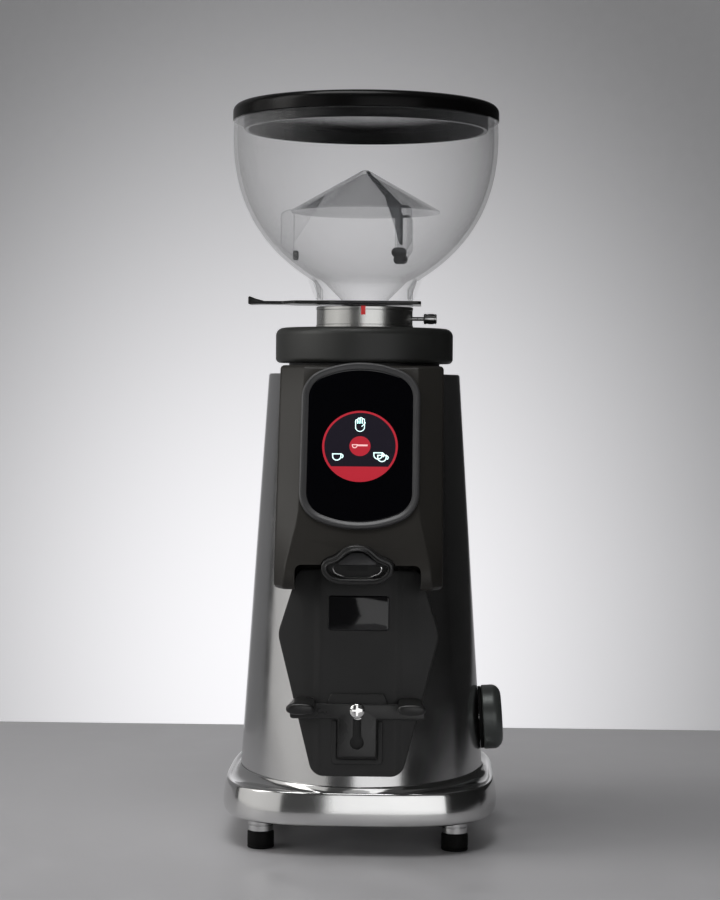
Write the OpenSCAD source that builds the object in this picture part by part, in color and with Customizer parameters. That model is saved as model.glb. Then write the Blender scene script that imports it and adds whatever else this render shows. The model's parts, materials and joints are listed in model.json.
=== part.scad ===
/* [Feet and base] */
// Half of the base's width
base_half = 86.2; // [84:0.1:88]
// Reach of the base in front of the hopper axis
base_front = 93; // [91:0.5:96]
// Reach of the base behind the hopper axis
base_rear = 118; // [114:0.5:120]
// Squareness of the base's plan, 2 is an ellipse
base_square = 3.4; // [2.6:0.1:5]
// Height of the lower edge of the base
base_bottom = 17.5; // [16:0.5:22]
// Height of the top of the base, where the shell stands
base_top = 41; // [39:0.5:43]
// Distance of a foot from the middle plane
foot_x = 59.5; // [54:0.5:62]
// Height of the rubber part of a foot
foot_h = 10.4; // [8:0.2:13]

/* [Shell] */
// Height of the top edge of the shell
shell_top = 291; // [285:0.5:293]
// Half width of the shell at its foot
shell_half = 77.5; // [76:0.5:79]
// Half depth of the shell at its foot
shell_deep = 96; // [94:0.5:98]
// Half width of the shell at its top
shell_half_top = 61; // [59:0.5:63]
// Half depth of the shell at its top
shell_deep_top = 60; // [58:0.5:62]
// Thickness of the shell
shell_wall = 2; // [1.5:0.1:2.5]

/* [Hood and screen] */
// Half width of the hood
hood_half = 50.5; // [49:0.5:52]
// Height of the top of the hood
hood_top = 296; // [294:0.5:297]
// Height of the lower tips of the hood
hood_bottom = 162; // [160:0.5:166]
// Wall of the hood
hood_wall = 3; // [2:0.1:3.5]
// Width of the screen's glass
glass_w = 63.6; // [60:0.1:66]
// Height of the screen's glass along the slope
glass_h = 98.5; // [92:0.1:100]

/* [Hopper] */
// Height of the hopper's rim
rim_z = 451; // [446:0.5:455]
// Radius of the hopper's rim
rim_r = 84; // [80:0.1:86]
// Outer radius of the hopper's neck
neck_r = 30.8; // [30:0.1:31]
// Wall of the hopper
hopper_wall = 2.5; // [2:0.1:3]
// Height of the lid above the rim
lid_h = 10.5; // [8:0.1:12]

/* [Grinding] */
// Outer radius of the burrs
burr_r = 32; // [30:0.5:33]
// Gap between the burrs at rest
burr_gap = 0.8; // [0.6:0.05:1]
// Outer radius of the adjustment ring
ring_r = 56.5; // [54:0.1:58]
// Height of the underside of the adjustment ring
ring_z = 297.7; // [297.2:0.1:299]
// Height of the top of the adjustment ring
ring_top = 320; // [318:0.1:321]

/* [Fork and knob] */
// Half width of the fork
fork_half = 42.5; // [40:0.5:44]
// Reach of the fork's tips in front of the hopper axis
fork_reach = 122; // [118:0.5:124]
// Radius of the side knob
knob_r = 20.5; // [18:0.5:22]
// Height of the middle of the side knob
knob_z = 70.8; // [66:0.2:76]

/* [Hidden] */
$fn = 48;

fit = 0.05;         // radial clearance of a running or clamped fit
slab = 0.2;         // thickness of the slabs that a hull is stretched over
deck = 34;          // underside of the base's deck
plate_z = 20;       // underside of the bottom plate
plate_t = 2.5;      // thickness of the bottom plate
feet_y = [-65, 88];
foot_r = 8.2;
collar_r = 7.65;
screw_r = 2.5;

shell_shift = 8;    // the shell's middle lies behind the hopper axis
shell_shift_top = 5;
shell_h = shell_top - base_top;
side_slope = (shell_half - shell_half_top) / shell_h;
front_slope = (shell_deep - shell_shift - shell_deep_top + shell_shift_top) / shell_h;
rear_slope = (shell_deep + shell_shift - shell_deep_top - shell_shift_top) / shell_h;

function shell_part(z) = (z - base_top) / shell_h;
function shell_a(z) = shell_half + (shell_half_top - shell_half) * shell_part(z);
function shell_b(z) = shell_deep + (shell_deep_top - shell_deep) * shell_part(z);
function shell_c(z) = shell_shift + (shell_shift_top - shell_shift) * shell_part(z);
function shell_front(z) = shell_c(z) - shell_b(z);
function shell_rear(z) = shell_c(z) + shell_b(z);

// The hood's sloping face, from its upper to its lower edge
face_top = [-57.5, 293];
face_low = [-104.5, 174];
lean = atan((face_top[0] - face_low[0]) / (face_top[1] - face_low[1]));
function face_y(z) = face_top[0] - (face_top[1] - z) * tan(lean);
screen_z = 247.5;
bezel_w = 4.5;
bezel_proud = 2;
bezel_deep = 4;

// The back plate follows the shell's front
plate_lean = atan(front_slope);
rest_t = 4;         // thickness of the back plate
rest_gap = 5.5;     // from the shell's front line to the plate's face
rest_z = 110;       // height of the plate's middle
rest_low = 49;
rest_high = 172;
function rest_up(z) = (z - rest_z) / cos(plate_lean);

chute_from = [-46, 225];
chute_to = [-98, 179];
chute_w = 36;
chute_h = 16;
chute_wall = 2;

spout_back = -98;
spout_front = -113.5;
spout_z = 177.5;
mouth_w = 31;
mouth_h = 9.5;
mouth_z = 173.3;
flap_axis = [-99.9, 185];
pin_r = 1;

fork_z = 88;
fork_bar = [83, 92];
stem_half = 11.5;
stem_low = 60.5;
slot_half = 2.5;
eye_r = 4.2;
eye_z = 69.2;
fork_t = 4;

burr_in = 20;
burr_h = 8;
low_burr_z = 226;
up_burr_z = low_burr_z + burr_h + burr_gap;
carrier_z = up_burr_z + burr_h;
carrier_r = 42;
thread_r = 38;
carrier_top = 312;
chamber_r = 48;
chamber_z = 210;
chamber_floor = 218;
chamber_top = 292;
lip_z = 316.5;
lip_hole = 31.6;
collar_out = 31;
collar_in = 29.6;
collar_top = 333.5;
seat_z = 314;       // top of the collar's flange

gate_z = 335;
gate_t = 2;
gate_half = 22;
throat_r = 15;
spigot_in = 26;
neck_top = 343;
neck_in = 28.2;
bowl_z = 350;
cone_r = 47.7;
cone_z = 394;
cone_top = 421;
leg_angles = [180, 60, -60];

shaft_r = 6;
bearing_r = 14;
bearing_h = 8;
can_r = 46;
can_wall = 3;
can_z = [60, 168];
cap_t = 8;
cap_r = 54;
bolt_at = 50;

function power(v, e) = sign(v) * pow(abs(v), e);
function bezier(p, t) = pow(1 - t, 3) * p[0] + 3 * pow(1 - t, 2) * t * p[1]
    + 3 * (1 - t) * t * t * p[2] + pow(t, 3) * p[3];
function bezier_dir(p, t) = pow(1 - t, 2) * (p[1] - p[0]) + 2 * (1 - t) * t * (p[2] - p[1])
    + t * t * (p[3] - p[2]);
function left_of(v) = [v[1], -v[0]] / norm(v);
bowl_curve = [[rim_r, rim_z], [rim_r + 4, 395], [60, 366], [33, bowl_z]];
bowl_steps = 16;
bowl_out = [for (i = [0:bowl_steps]) bezier(bowl_curve, i / bowl_steps)];
bowl_in = [for (i = [bowl_steps:-1:1])
    bezier(bowl_curve, i / bowl_steps) + hopper_wall * left_of(bezier_dir(bowl_curve, i / bowl_steps))];

module base_plan(inset) {
    polygon([for (i = [0:71]) let (t = i * 5, b = sin(t) < 0 ? base_front : base_rear)
        [(base_half - inset) * power(cos(t), 2 / base_square), (b - inset) * power(sin(t), 2 / base_square)]]);
}

module shell_plan(z, grow) {
    polygon([for (i = [0:71])
        [(shell_a(z) + grow) * cos(i * 5), shell_c(z) + (shell_b(z) + grow) * sin(i * 5)]]);
}

module shell_solid(z0, z1, grow) {
    hull() {
        translate([0, 0, z0]) linear_extrude(slab) shell_plan(z0, grow);
        translate([0, 0, z1 - slab]) linear_extrude(slab) shell_plan(z1, grow);
    }
}

module at_feet() {
    for (x = [-foot_x, foot_x], y = feet_y) translate([x, y, 0]) children();
}

module ring(r_out, r_in, h) {
    difference() {
        cylinder(r = r_out, h = h);
        translate([0, 0, -1]) cylinder(r = r_in, h = h + 2);
    }
}

module round_rect(w, h, r) {
    square([w - 2 * r, h], center = true);
    square([w, h - 2 * r], center = true);
    for (x = [-1, 1], y = [-1, 1]) translate([x * (w / 2 - r), y * (h / 2 - r)]) circle(r = r);
}

// Local frame on the hood's face: x across, y up the slope, z outwards
module on_face() {
    translate([0, face_y(screen_z), screen_z]) rotate([90 - lean, 0, 0]) children();
}

// Local frame on the back plate's face
module on_rest() {
    translate([0, shell_front(rest_z) - rest_gap, rest_z]) rotate([90 - plate_lean, 0, 0]) children();
}

// Local frame on the right side of the shell, z outwards
module on_side() {
    translate([shell_a(knob_z), shell_c(knob_z), knob_z]) rotate([0, 90 - atan(side_slope), 0]) children();
}

// Local frame on the back of the shell, z outwards
gland_z = 62;
module on_rear() {
    translate([0, shell_rear(gland_z), gland_z]) rotate([atan(rear_slope) - 90, 0, 0]) children();
}

// The screen's outline: straight sides, wide arcs above and below, and round corners
module barrel(grow) {
    corner = 14.9;
    crown = 56;
    reach = glass_w / 2 - corner;
    rise = glass_h / 2 - crown;
    hull() {
        for (x = [-1, 1], y = [-1, 1])
            translate([x * reach, y * (rise + sqrt(pow(crown - corner, 2) - reach * reach))]) circle(r = corner + grow);
        for (y = [-1, 1]) polygon([for (a = [-24:4:24])
            [(crown + grow) * sin(a), y * (rise + (crown + grow) * cos(a))]]);
    }
}

module bell(grow) {
    hull() {
        translate([0, 5.5]) circle(r = 6.5 + grow);
        for (x = [-1, 1]) {
            translate([x * 16.5, -1]) circle(r = 5 + grow);
            translate([x * 11, -5.5]) circle(r = 6 + grow);
        }
    }
}

module rubber_feet() color("#151515") at_feet() difference() {
    cylinder(r = foot_r, h = foot_h);
    translate([0, 0, -1]) cylinder(r = 4.3, h = 6);
    cylinder(r = screw_r + fit, h = foot_h + 1);
}

module foot_collars() color("silver") at_feet() translate([0, 0, foot_h])
    ring(collar_r, screw_r + fit, plate_z - foot_h);

module foot_screws() color("silver") at_feet() {
    translate([0, 0, 2]) cylinder(r = 4.2, h = 3);
    translate([0, 0, 2]) cylinder(r = screw_r, h = deck - 4);
}

module bottom_plate() color("#303030") difference() {
    translate([0, 0, plate_z]) linear_extrude(plate_t) base_plan(9);
    at_feet() cylinder(r = screw_r + fit, h = deck);
    for (x = [-30:12:30]) translate([x - 2.5, -30, plate_z - 1]) cube([5, 60, plate_t + 2]);
}

module base_hull() {
    hull() {
        translate([0, 0, base_bottom]) linear_extrude(slab) base_plan(5);
        translate([0, 0, base_bottom + 2.5]) linear_extrude(slab) base_plan(1.6);
        translate([0, 0, base_bottom + 7]) linear_extrude(8) base_plan(0);
        translate([0, 0, base_top - 4]) linear_extrude(slab) base_plan(1.4);
        translate([0, 0, base_top - 2.2]) linear_extrude(slab) base_plan(3.6);
        translate([0, 0, base_top - slab]) linear_extrude(slab) shell_plan(base_top, 0.6);
    }
}

module base_casting() color("#c9cbcd") difference() {
    union() {
        difference() {
            base_hull();
            translate([0, 0, base_bottom - 1]) linear_extrude(plate_z + plate_t - base_bottom + 1) base_plan(8.8);
            translate([0, 0, plate_z]) linear_extrude(deck - plate_z) base_plan(12);
            cylinder(r = 18, h = base_top + 1);
        }
        at_feet() translate([0, 0, plate_z + plate_t]) cylinder(r = 9, h = deck - plate_z - plate_t + 1);
    }
    at_feet() cylinder(r = screw_r + fit, h = deck - 1);
    at_feet() cylinder(r = collar_r + 0.4, h = plate_z);
}

module stud_places() {
    for (x = [-18, 18], z = [72, 158]) translate([x, rest_up(z), 0]) children();
}

module body_shell() color("#aeb1b4") difference() {
    shell_solid(base_top, shell_top, 0);
    shell_solid(base_top - 1, shell_top + 1, -shell_wall);
    // opening behind the hood
    translate([-44, -120, 186]) cube([88, 90, 130]);
    on_side() translate([0, 0, -10]) cylinder(r = 5, h = 20);
    on_rear() translate([0, 0, -10]) cylinder(r = 9 + fit, h = 20);
    on_rest() stud_places() translate([0, 0, -30]) cylinder(r = 3 + fit, h = 30);
    on_rest() translate([0, rest_up(fork_z), -30]) cylinder(r = 6.5, h = 30);
    // cooling slots in the back
    for (x = [-30:12:30]) translate([x - 2, 40, 215]) cube([4, 80, 40]);
}

module hood_side(points, half) {
    translate([-half, 0, 0]) rotate([90, 0, 90]) linear_extrude(2 * half) polygon(points);
}

arch_z = 177;
arch_half = 39;
module front_hood() color("#26241f") difference() {
    hood_side([[-54, hood_top], face_top, face_low, [face_low[0], 168], [-100, hood_bottom],
        [-40, hood_bottom], [-15, 240], [-15, hood_top]], hood_half);
    hood_side([[-10, hood_top - hood_wall], [-53.6, hood_top - hood_wall], face_top + [3.1, -1.5],
        face_low + [3.3, 0.6], [face_low[0] + 3.3, 168], [-98.6, hood_bottom - 1],
        [-30, hood_bottom - 1], [-10, 240]], hood_half - hood_wall);
    translate([-arch_half, -130, 150]) cube([2 * arch_half, 70, arch_z - 150]);
    shell_solid(150, 300, 0.4);
    on_face() translate([0, 0, -20]) linear_extrude(40) barrel(bezel_w);
    spout_at() translate([0, 0, -20]) linear_extrude(40) bell(0);
    translate([-40, -52, hood_top - 10]) cube([80, 60, 20]);
    cylinder(r = 50.5, h = 400);
}

module screen_bezel() color("#3c3c3c") on_face() translate([0, 0, -bezel_deep]) difference() {
    linear_extrude(bezel_deep + bezel_proud) barrel(bezel_w);
    translate([0, 0, -1]) linear_extrude(bezel_deep + bezel_proud + 2) barrel(0);
}

module screen_glass() color("#08090c") on_face() translate([0, 0, -1]) linear_extrude(2.2) barrel(0);

module display_module() color("#2b4a6b") on_face() {
    translate([-28, -40, -8.4]) cube([56, 80, 5.4]);
    translate([0, 0, -3]) cylinder(r = 24, h = 2);
}

module control_board() color("#1f6b3a") on_face() {
    translate([-30, -28, -12]) cube([60, 66, 1.6]);
    for (x = [-26, 26], y = [-24, 34]) translate([x, y, -10.4]) cylinder(r = 2, h = 2);
    translate([-12, 5, -14.4]) cube([18, 18, 2.4]);
}

module spout_at() {
    translate([0, 0, spout_z]) rotate([90, 0, 0]) translate([0, 0, 105]) children();
}

module spout() color("#1d1d1d") difference() {
    translate([0, spout_back, spout_z]) rotate([90, 0, 0]) linear_extrude(spout_back - spout_front) bell(0);
    // throat behind the deflector
    translate([-mouth_w / 2, -109, 169]) cube([mouth_w, 12, 13]);
    translate([-14.6, -109, 180]) cube([29.2, 12, 4]);
    translate([-7, -109, 183]) cube([14, 12, 4]);
    translate([0, spout_front - 1, mouth_z]) rotate([-90, 0, 0]) linear_extrude(12)
        round_rect(mouth_w, mouth_h, mouth_h / 2 - 0.05);
    translate([-10, flap_axis[0], flap_axis[1] - 1]) rotate([0, 90, 0]) cylinder(r = pin_r + fit, h = 20);
}

module spout_flap() color("#1c1c1e") {
    translate([-9.4, flap_axis[0], flap_axis[1] - 1]) rotate([0, 90, 0]) cylinder(r = pin_r, h = 18.8);
    translate([-6.4, flap_axis[0] - 0.5, 173.5]) cube([12.8, 1, 10.5]);
}

module chute() color("#55585c") {
    run = chute_from - chute_to;
    len = norm(run);
    slope = atan2(run[1], run[0]);
    difference() {
        translate([0, chute_to[0], chute_to[1]]) rotate([slope, 0, 0]) difference() {
            translate([-chute_w / 2, -14, -chute_h / 2]) cube([chute_w, len + 30, chute_h]);
            translate([-chute_w / 2 + chute_wall, -15, -chute_h / 2 + chute_wall])
                cube([chute_w - 2 * chute_wall, len + 50, chute_h - 2 * chute_wall]);
        }
        translate([-30, -200, 100]) cube([60, 200 + spout_back, 150]);
        translate([0, 0, 150]) cylinder(r = chamber_r, h = 100);
        on_face() translate([-30, -100, -hood_wall - 0.4]) cube([60, 200, 30]);
    }
}

module rest_outline() {
    hull() {
        for (x = [-1, 1]) {
            translate([x * 32.7, rest_up(rest_high) - 6]) circle(r = 6);
            translate([x * 33.5, rest_up(133)]) circle(r = 15);
            translate([x * 20, rest_up(rest_low) + 9]) circle(r = 9);
        }
    }
}

module back_plate() color("#1b1b1b") on_rest() {
    difference() {
        translate([0, 0, -rest_t]) linear_extrude(rest_t) rest_outline();
        translate([0, rest_up(146), -1.4]) linear_extrude(3) round_rect(37, 21, 2);
        translate([0, rest_up(fork_z), -10]) cylinder(r = 5.5, h = 20);
    }
    // guide rib round the fork's stem
    for (x = [-15, 12]) translate([x, rest_up(57), 0]) cube([3, 25, 1.5]);
    translate([-15, rest_up(56), 0]) cube([30, 3, 1.5]);
}

module plate_studs() color("silver") on_rest() stud_places() translate([0, 0, -20]) {
    cylinder(r = 3, h = 20 - rest_t);
    cylinder(r = 5, h = 3, $fn = 6);
}

module sensor_window() color("#050507") on_rest() translate([0, rest_up(146), -1.4])
    linear_extrude(2) round_rect(37, 21, 2);

module fork() color("#141414") {
    on_rest() translate([0, 0, 0.1]) difference() {
        union() {
            translate([-fork_half + 2, rest_up(fork_bar[0]), 0]) cube([2 * fork_half - 4, 9, fork_t]);
            translate([-stem_half, rest_up(stem_low), 0]) cube([2 * stem_half, 30, 3]);
            translate([-16, rest_up(fork_bar[1]) - 0.2, 0]) cube([32, 4, 2]);
        }
        translate([-slot_half, rest_up(eye_z), -1]) cube([2 * slot_half, rest_up(fork_z) - rest_up(eye_z), 8]);
        translate([0, rest_up(fork_z), -1]) cylinder(r = slot_half, h = 8);
        translate([0, rest_up(eye_z), -1]) cylinder(r = eye_r, h = 8);
    }
    for (x = [-1, 1]) translate([x * 32.6, -88.2, 93.4]) rotate([90, 0, 0])
        linear_extrude(fork_reach - 88.2) round_rect(16.6, 6.8, 3.3);
}

module fork_screw() color("#d8d8d8") on_rest() translate([0, rest_up(fork_z), fork_t + 0.2]) difference() {
    union() {
        cylinder(r = 4.75, h = 3);
        translate([0, 0, -14]) cylinder(r = slot_half - 0.1, h = 15);
    }
    translate([-3, -0.6, 2]) cube([6, 1.2, 2]);
    translate([-0.6, -3, 2]) cube([1.2, 6, 2]);
}

module fork_post() color("#8a8d90") on_rest() translate([0, rest_up(fork_z), -18]) difference() {
    cylinder(r = 5, h = 18);
    translate([0, 0, 7.5]) cylinder(r = slot_half - 0.1 + fit, h = 12);
}

cell_front = -70.5;
module load_cell() color("#b9bcc0") difference() {
    translate([-7, cell_front, 46]) cube([14, 12, 50]);
    for (z = [66, 76]) translate([-8, cell_front + 6, z]) rotate([0, 90, 0]) cylinder(r = 4, h = 16);
    on_rest() translate([0, rest_up(fork_z), -18]) cylinder(r = 5 + fit, h = 30);
}

module load_cell_bracket() color("#77797c") {
    translate([-12, cell_front, base_top]) cube([24, 12, 5]);
    translate([-12, cell_front, base_top]) cube([4.5, 12, 20]);
    translate([7.5, cell_front, base_top]) cube([4.5, 12, 20]);
}

module power_knob() color("#1e2021") on_side() translate([0, 0, 2]) difference() {
    rotate_extrude() polygon([[0, 0], [knob_r - 0.6, 0], [knob_r, 0.6], [knob_r, 8], [knob_r - 0.9, 10],
        [knob_r - 2.8, 11.8], [knob_r - 5.2, 12.8], [knob_r - 7, 13.1], [0, 13.1]]);
    translate([0, 0, -1]) cylinder(r = 3, h = 7);
}

module knob_washer() color("#0b0b0b") on_side() translate([0, 0, 0.1]) ring(16, 5.2, 1.8);

module rotary_switch() color("#e0dfd8") on_side() difference() {
    translate([-9, -9, -24]) cube([18, 18, 20]);
    translate([0, 0, -10]) cylinder(r = 3 + fit, h = 20);
}

module switch_shaft() color("silver") on_side() translate([0, 0, -10]) cylinder(r = 3, h = 18);

module adjustment_ring() color("#2c2c2b") {
    rotate_extrude() polygon(concat(
        [[lip_hole, ring_top], [lip_hole, lip_z], [thread_r + fit, lip_z], [thread_r + fit, ring_z],
         [ring_r - 3, ring_z]],
        [for (a = [0:15:90]) [ring_r - 3 + 3 * sin(a), ring_z + 3 - 3 * cos(a)]],
        [for (a = [0:15:90]) [ring_r - 5 + 5 * cos(a), ring_top - 5 + 5 * sin(a)]]));
}

module thrust_ring() color("#151515") translate([0, 0, chamber_top]) ring(chamber_r, thread_r + 4.2, ring_z - chamber_top - 0.1);

module hopper_collar() color("#c4c6c8") difference() {
    union() {
        translate([0, 0, carrier_top]) cylinder(r = 36, h = seat_z - carrier_top);
        translate([0, 0, carrier_top]) cylinder(r = collar_out, h = collar_top - carrier_top);
    }
    translate([0, 0, carrier_top - 1]) cylinder(r = collar_in, h = 40);
    translate([0, 0, 326.4]) rotate([0, 90, 0]) cylinder(r = 1.25 + fit, h = 60);
    translate([-1.4, -collar_out - 1, 328]) cube([2.8, 1.5, 6]);
}

module index_mark() color("#d01f1f") intersection() {
    translate([-1.4, -collar_out - 1, 328]) cube([2.8, 1.5, 5.5]);
    cylinder(r = collar_out, h = 400);
}

module lock_screw() color("silver") translate([0, 0, 326.4]) rotate([0, 90, 0]) {
    translate([0, 0, collar_in + 0.2]) cylinder(r = 1.25, h = 9);
    translate([0, 0, 37.7]) cylinder(r = 3.35, h = 8.3);
}

module hopper() color("#dfe6ea", 0.35) difference() {
    rotate_extrude() polygon(concat(bowl_out,
        [[neck_r, neck_top], [neck_r, collar_top + 0.4], [collar_in - fit, collar_top + 0.4],
         [collar_in - fit, 322], [spigot_in, 322], [spigot_in, gate_z - 1.8],
         [throat_r, gate_z - 1.8], [throat_r, gate_z + gate_t + 1.6], [neck_in, gate_z + gate_t + 1.6],
         [neck_in, 351]],
        bowl_in, [[rim_r - hopper_wall, rim_z]]));
    translate([-50, -gate_half - 0.3, gate_z - 0.3]) cube([100, 2 * gate_half + 0.6, gate_t + 0.6]);
}

module gate_slide() color("#101010") {
    difference() {
        translate([-74, -gate_half, gate_z]) cube([110, 2 * gate_half, gate_t]);
        translate([0, 0, gate_z - 1]) cylinder(r = throat_r, h = gate_t + 2);
        // the lever is narrower than the shutter
        for (y = [-1, 1]) translate([-80, y * 19 - 10, gate_z - 1]) cube([32, 20, gate_t + 2]);
    }
    translate([0, 9, 0]) rotate([90, 0, 0]) linear_extrude(18)
        polygon([[-74, gate_z - 0.4], [-74, gate_z + 5.4], [-65, gate_z + 3.2], [-62, gate_z + gate_t],
            [-62, gate_z]]);
}

module bean_baffle() color("#e6ecf0", 0.4) {
    difference() {
        translate([0, 0, cone_z]) cylinder(r1 = cone_r, r2 = 0.5, h = cone_top - cone_z);
        translate([0, 0, cone_z - 1.6]) cylinder(r1 = cone_r, r2 = 0.5, h = cone_top - cone_z - 0.8);
    }
    for (a = leg_angles) rotate([0, 0, a]) translate([0, 4, 0]) rotate([90, 0, 0]) linear_extrude(8)
        polygon([[45.3, 364.2], [54, 371.4], [54, cone_z], [50, cone_z + 2], [cone_r - 3, cone_z + 1.8],
            [45.3, cone_z]]);
}

module baffle_clips() color("#222222") for (a = leg_angles) rotate([0, 0, a])
    translate([45.3, 0, 367.6]) rotate([0, -90, 0]) cylinder(r = 2.6, h = 3.4);

module hopper_lid() color("#0c0c0c") difference() {
    union() {
        rotate_extrude() polygon(concat([[0, rim_z + lid_h], [0, rim_z + 0.05], [rim_r + 0.65, rim_z + 0.05]],
            [for (a = [0:15:90]) [rim_r - 4.35 + 5 * cos(a), rim_z + lid_h - 5 + 5 * sin(a)]]));
        translate([0, 0, rim_z - 5.5]) cylinder(r = 77.7, h = 7);
    }
    translate([0, 0, rim_z - 6]) cylinder(r = 75, h = 12);
}

module grinding_chamber() color("#9a9da0") difference() {
    translate([0, 0, chamber_z]) cylinder(r = chamber_r, h = chamber_top - chamber_z);
    translate([0, 0, chamber_z - 1]) cylinder(r = bearing_r + fit, h = 12);
    translate([0, 0, chamber_floor]) cylinder(r = 40.5, h = 90);
    translate([0, 0, 240]) cylinder(r = carrier_r + fit, h = 60);
    translate([-15, -60, 219]) cube([30, 40, 12]);
    for (x = [-50, 35]) translate([x, 0, 268]) rotate([0, 90, 0]) cylinder(r = 2, h = 15);
}

module guide_pins() color("silver") {
    for (x = [-chamber_r, 36.6]) translate([x, 0, 268]) rotate([0, 90, 0]) cylinder(r = 2, h = chamber_r - 36.6);
}

module burr_screws(z, up) {
    for (a = [30, 150, 270]) rotate([0, 0, a]) translate([26, 0, z]) mirror([0, 0, up ? 1 : 0]) {
        cylinder(r = 2, h = 11);
        translate([0, 0, 0]) cylinder(r = 3.4, h = 2.4);
    }
}

module screw_holes(z, up) {
    for (a = [30, 150, 270]) rotate([0, 0, a]) translate([26, 0, z]) mirror([0, 0, up ? 1 : 0]) {
        translate([0, 0, -1]) cylinder(r = 2 + fit, h = 13);
        translate([0, 0, -1]) cylinder(r = 3.4 + fit, h = 3.4);
    }
}

module burr_teeth(z) {
    for (a = [0:20:340]) rotate([0, 0, a]) translate([burr_in - 1, 3, z]) rotate([0, 0, 12]) cube([14, 1.2, 1.6]);
}

module lower_burr() color("#8f9194") difference() {
    translate([0, 0, low_burr_z]) rotate_extrude() polygon([[burr_in, 0], [burr_r, 0], [burr_r, burr_h],
        [burr_r - 3, burr_h], [burr_in, burr_h - 3]]);
    burr_teeth(low_burr_z + burr_h - 1.2);
    screw_holes(low_burr_z + 6.2, true);
}

module lower_burr_screws() color("silver") burr_screws(low_burr_z + 6.2, true);

module lower_burr_carrier() color("#6f7276") {
    difference() {
        translate([0, 0, 219.5]) cylinder(r = 39, h = low_burr_z - 219.5);
        translate([0, 0, 210]) cylinder(r = shaft_r, h = 30);
        screw_holes(low_burr_z + 6.2, true);
    }
    for (a = [0, 180]) rotate([0, 0, a]) translate([34, -4, low_burr_z - 0.2]) cube([5, 8, 5]);
}

module burr_nut() color("silver") translate([0, 0, low_burr_z]) {
    cylinder(r = 9, h = 5, $fn = 6);
    cylinder(r = 6, h = 9);
}

module upper_burr() color("#8f9194") difference() {
    translate([0, 0, up_burr_z]) rotate_extrude() polygon([[burr_in, 3], [burr_r - 3, 0], [burr_r, 0],
        [burr_r, burr_h], [burr_in, burr_h]]);
    burr_teeth(up_burr_z - 0.4);
    screw_holes(up_burr_z + 1.8, false);
}

module upper_burr_screws() color("silver") burr_screws(up_burr_z + 1.8, false);

module upper_burr_carrier() color("#7d8084") difference() {
    rotate_extrude() polygon([[burr_in, carrier_z], [carrier_r, carrier_z], [carrier_r, 262], [thread_r, 266],
        [thread_r, carrier_top], [collar_in, carrier_top], [collar_in, 280], [burr_in, 258]]);
    screw_holes(up_burr_z + 1.8, false);
    for (x = [-50, 36]) translate([x, -2.1, 262]) cube([14, 4.2, 12]);
}

module chamber_pedestal() color("#8c8f92") translate([0, 0, can_z[1] + cap_t]) {
    ring(34, 30, chamber_z - can_z[1] - cap_t);
}

module at_bolts() {
    for (a = [45:90:315]) rotate([0, 0, a]) translate([bolt_at, 0, 0]) children();
}

module motor_can() color("#50545a") translate([0, 0, can_z[0]]) ring(can_r, can_r - can_wall, can_z[1] - can_z[0]);

module motor_cap(z) {
    translate([0, 0, z]) difference() {
        cylinder(r = cap_r, h = cap_t);
        translate([0, 0, -1]) cylinder(r = bearing_r + fit, h = cap_t + 2);
        at_bolts() translate([0, 0, -1]) cylinder(r = 2 + fit, h = cap_t + 2);
        for (a = [0:60:300]) rotate([0, 0, a]) translate([29, 0, -1]) cylinder(r = 4.5, h = cap_t + 2);
    }
}

module motor_end_caps() color("#a5a8ab") {
    motor_cap(can_z[0] - cap_t);
    motor_cap(can_z[1]);
}

module top_cover() color("#1c1c1c") difference() {
    shell_solid(shell_top - 5, shell_top - 2, -shell_wall - 0.1);
    cylinder(r = chamber_r + 0.1, h = 400);
}

module motor_bolts() color("silver") at_bolts() {
    translate([0, 0, can_z[0] - cap_t]) cylinder(r = 2, h = can_z[1] - can_z[0] + 2 * cap_t);
    translate([0, 0, can_z[1] + cap_t]) cylinder(r = 3.8, h = 3, $fn = 6);
}

module motor_mounts() color("#202020") for (x = [-30, 30], y = [-30, 30])
    translate([x, y, base_top]) cylinder(r = 8, h = can_z[0] - cap_t - base_top);

module stator_core() color("#6a6d70") translate([0, 0, 85]) difference() {
    cylinder(r = can_r - can_wall - 0.05, h = 60);
    translate([0, 0, -1]) cylinder(r = 27, h = 62);
    for (a = [0:30:330]) rotate([0, 0, a]) translate([30, -2, -1]) cube([8, 4, 62]);
}

module stator_windings() color("#b5651d") for (z = [74, 145]) translate([0, 0, z]) ring(40, 28.5, 11);

module rotor_core() color("#85888b") translate([0, 0, 83]) ring(26.4, shaft_r, 64);

module motor_shaft() color("#cfd1d3") translate([0, 0, 50]) cylinder(r = shaft_r, h = low_burr_z - 50);

module bearings() color("#d5d7d9") for (z = [can_z[0] - cap_t, can_z[1], chamber_z])
    translate([0, 0, z]) ring(bearing_r, shaft_r + 0.03, bearing_h);

module cooling_fan() color("#303438") translate([0, 0, 158]) {
    ring(12, shaft_r, 8);
    ring(38, 11, 1.5);
    for (a = [0:30:330]) rotate([0, 0, a]) translate([11.5, -0.75, 1]) cube([26, 1.5, 7]);
}

module start_capacitor() color("#d8d8d2") translate([-36, 59, base_top]) {
    cylinder(r = 14, h = 55);
    for (x = [-4, 4]) translate([x - 1.5, -0.5, 54]) cube([3, 1, 7]);
}

module power_board() color("#1f5d38") {
    translate([-20, 66, base_top]) cube([60, 1.6, 70]);
    translate([-12, 67.5, 60]) cube([28, 14, 24]);
    translate([22, 67.5, 56]) cube([14, 4, 34]);
}

module cable_gland() color("#17181a") on_rear() difference() {
    union() {
        translate([0, 0, -10]) cylinder(r = 9, h = 14);
        translate([0, 0, 0.2]) cylinder(r = 12, h = 3.8);
        translate([0, 0, 3]) cylinder(r1 = 8, r2 = 6, h = 8);
    }
    translate([0, 0, -11]) cylinder(r = 4, h = 30);
}

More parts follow.
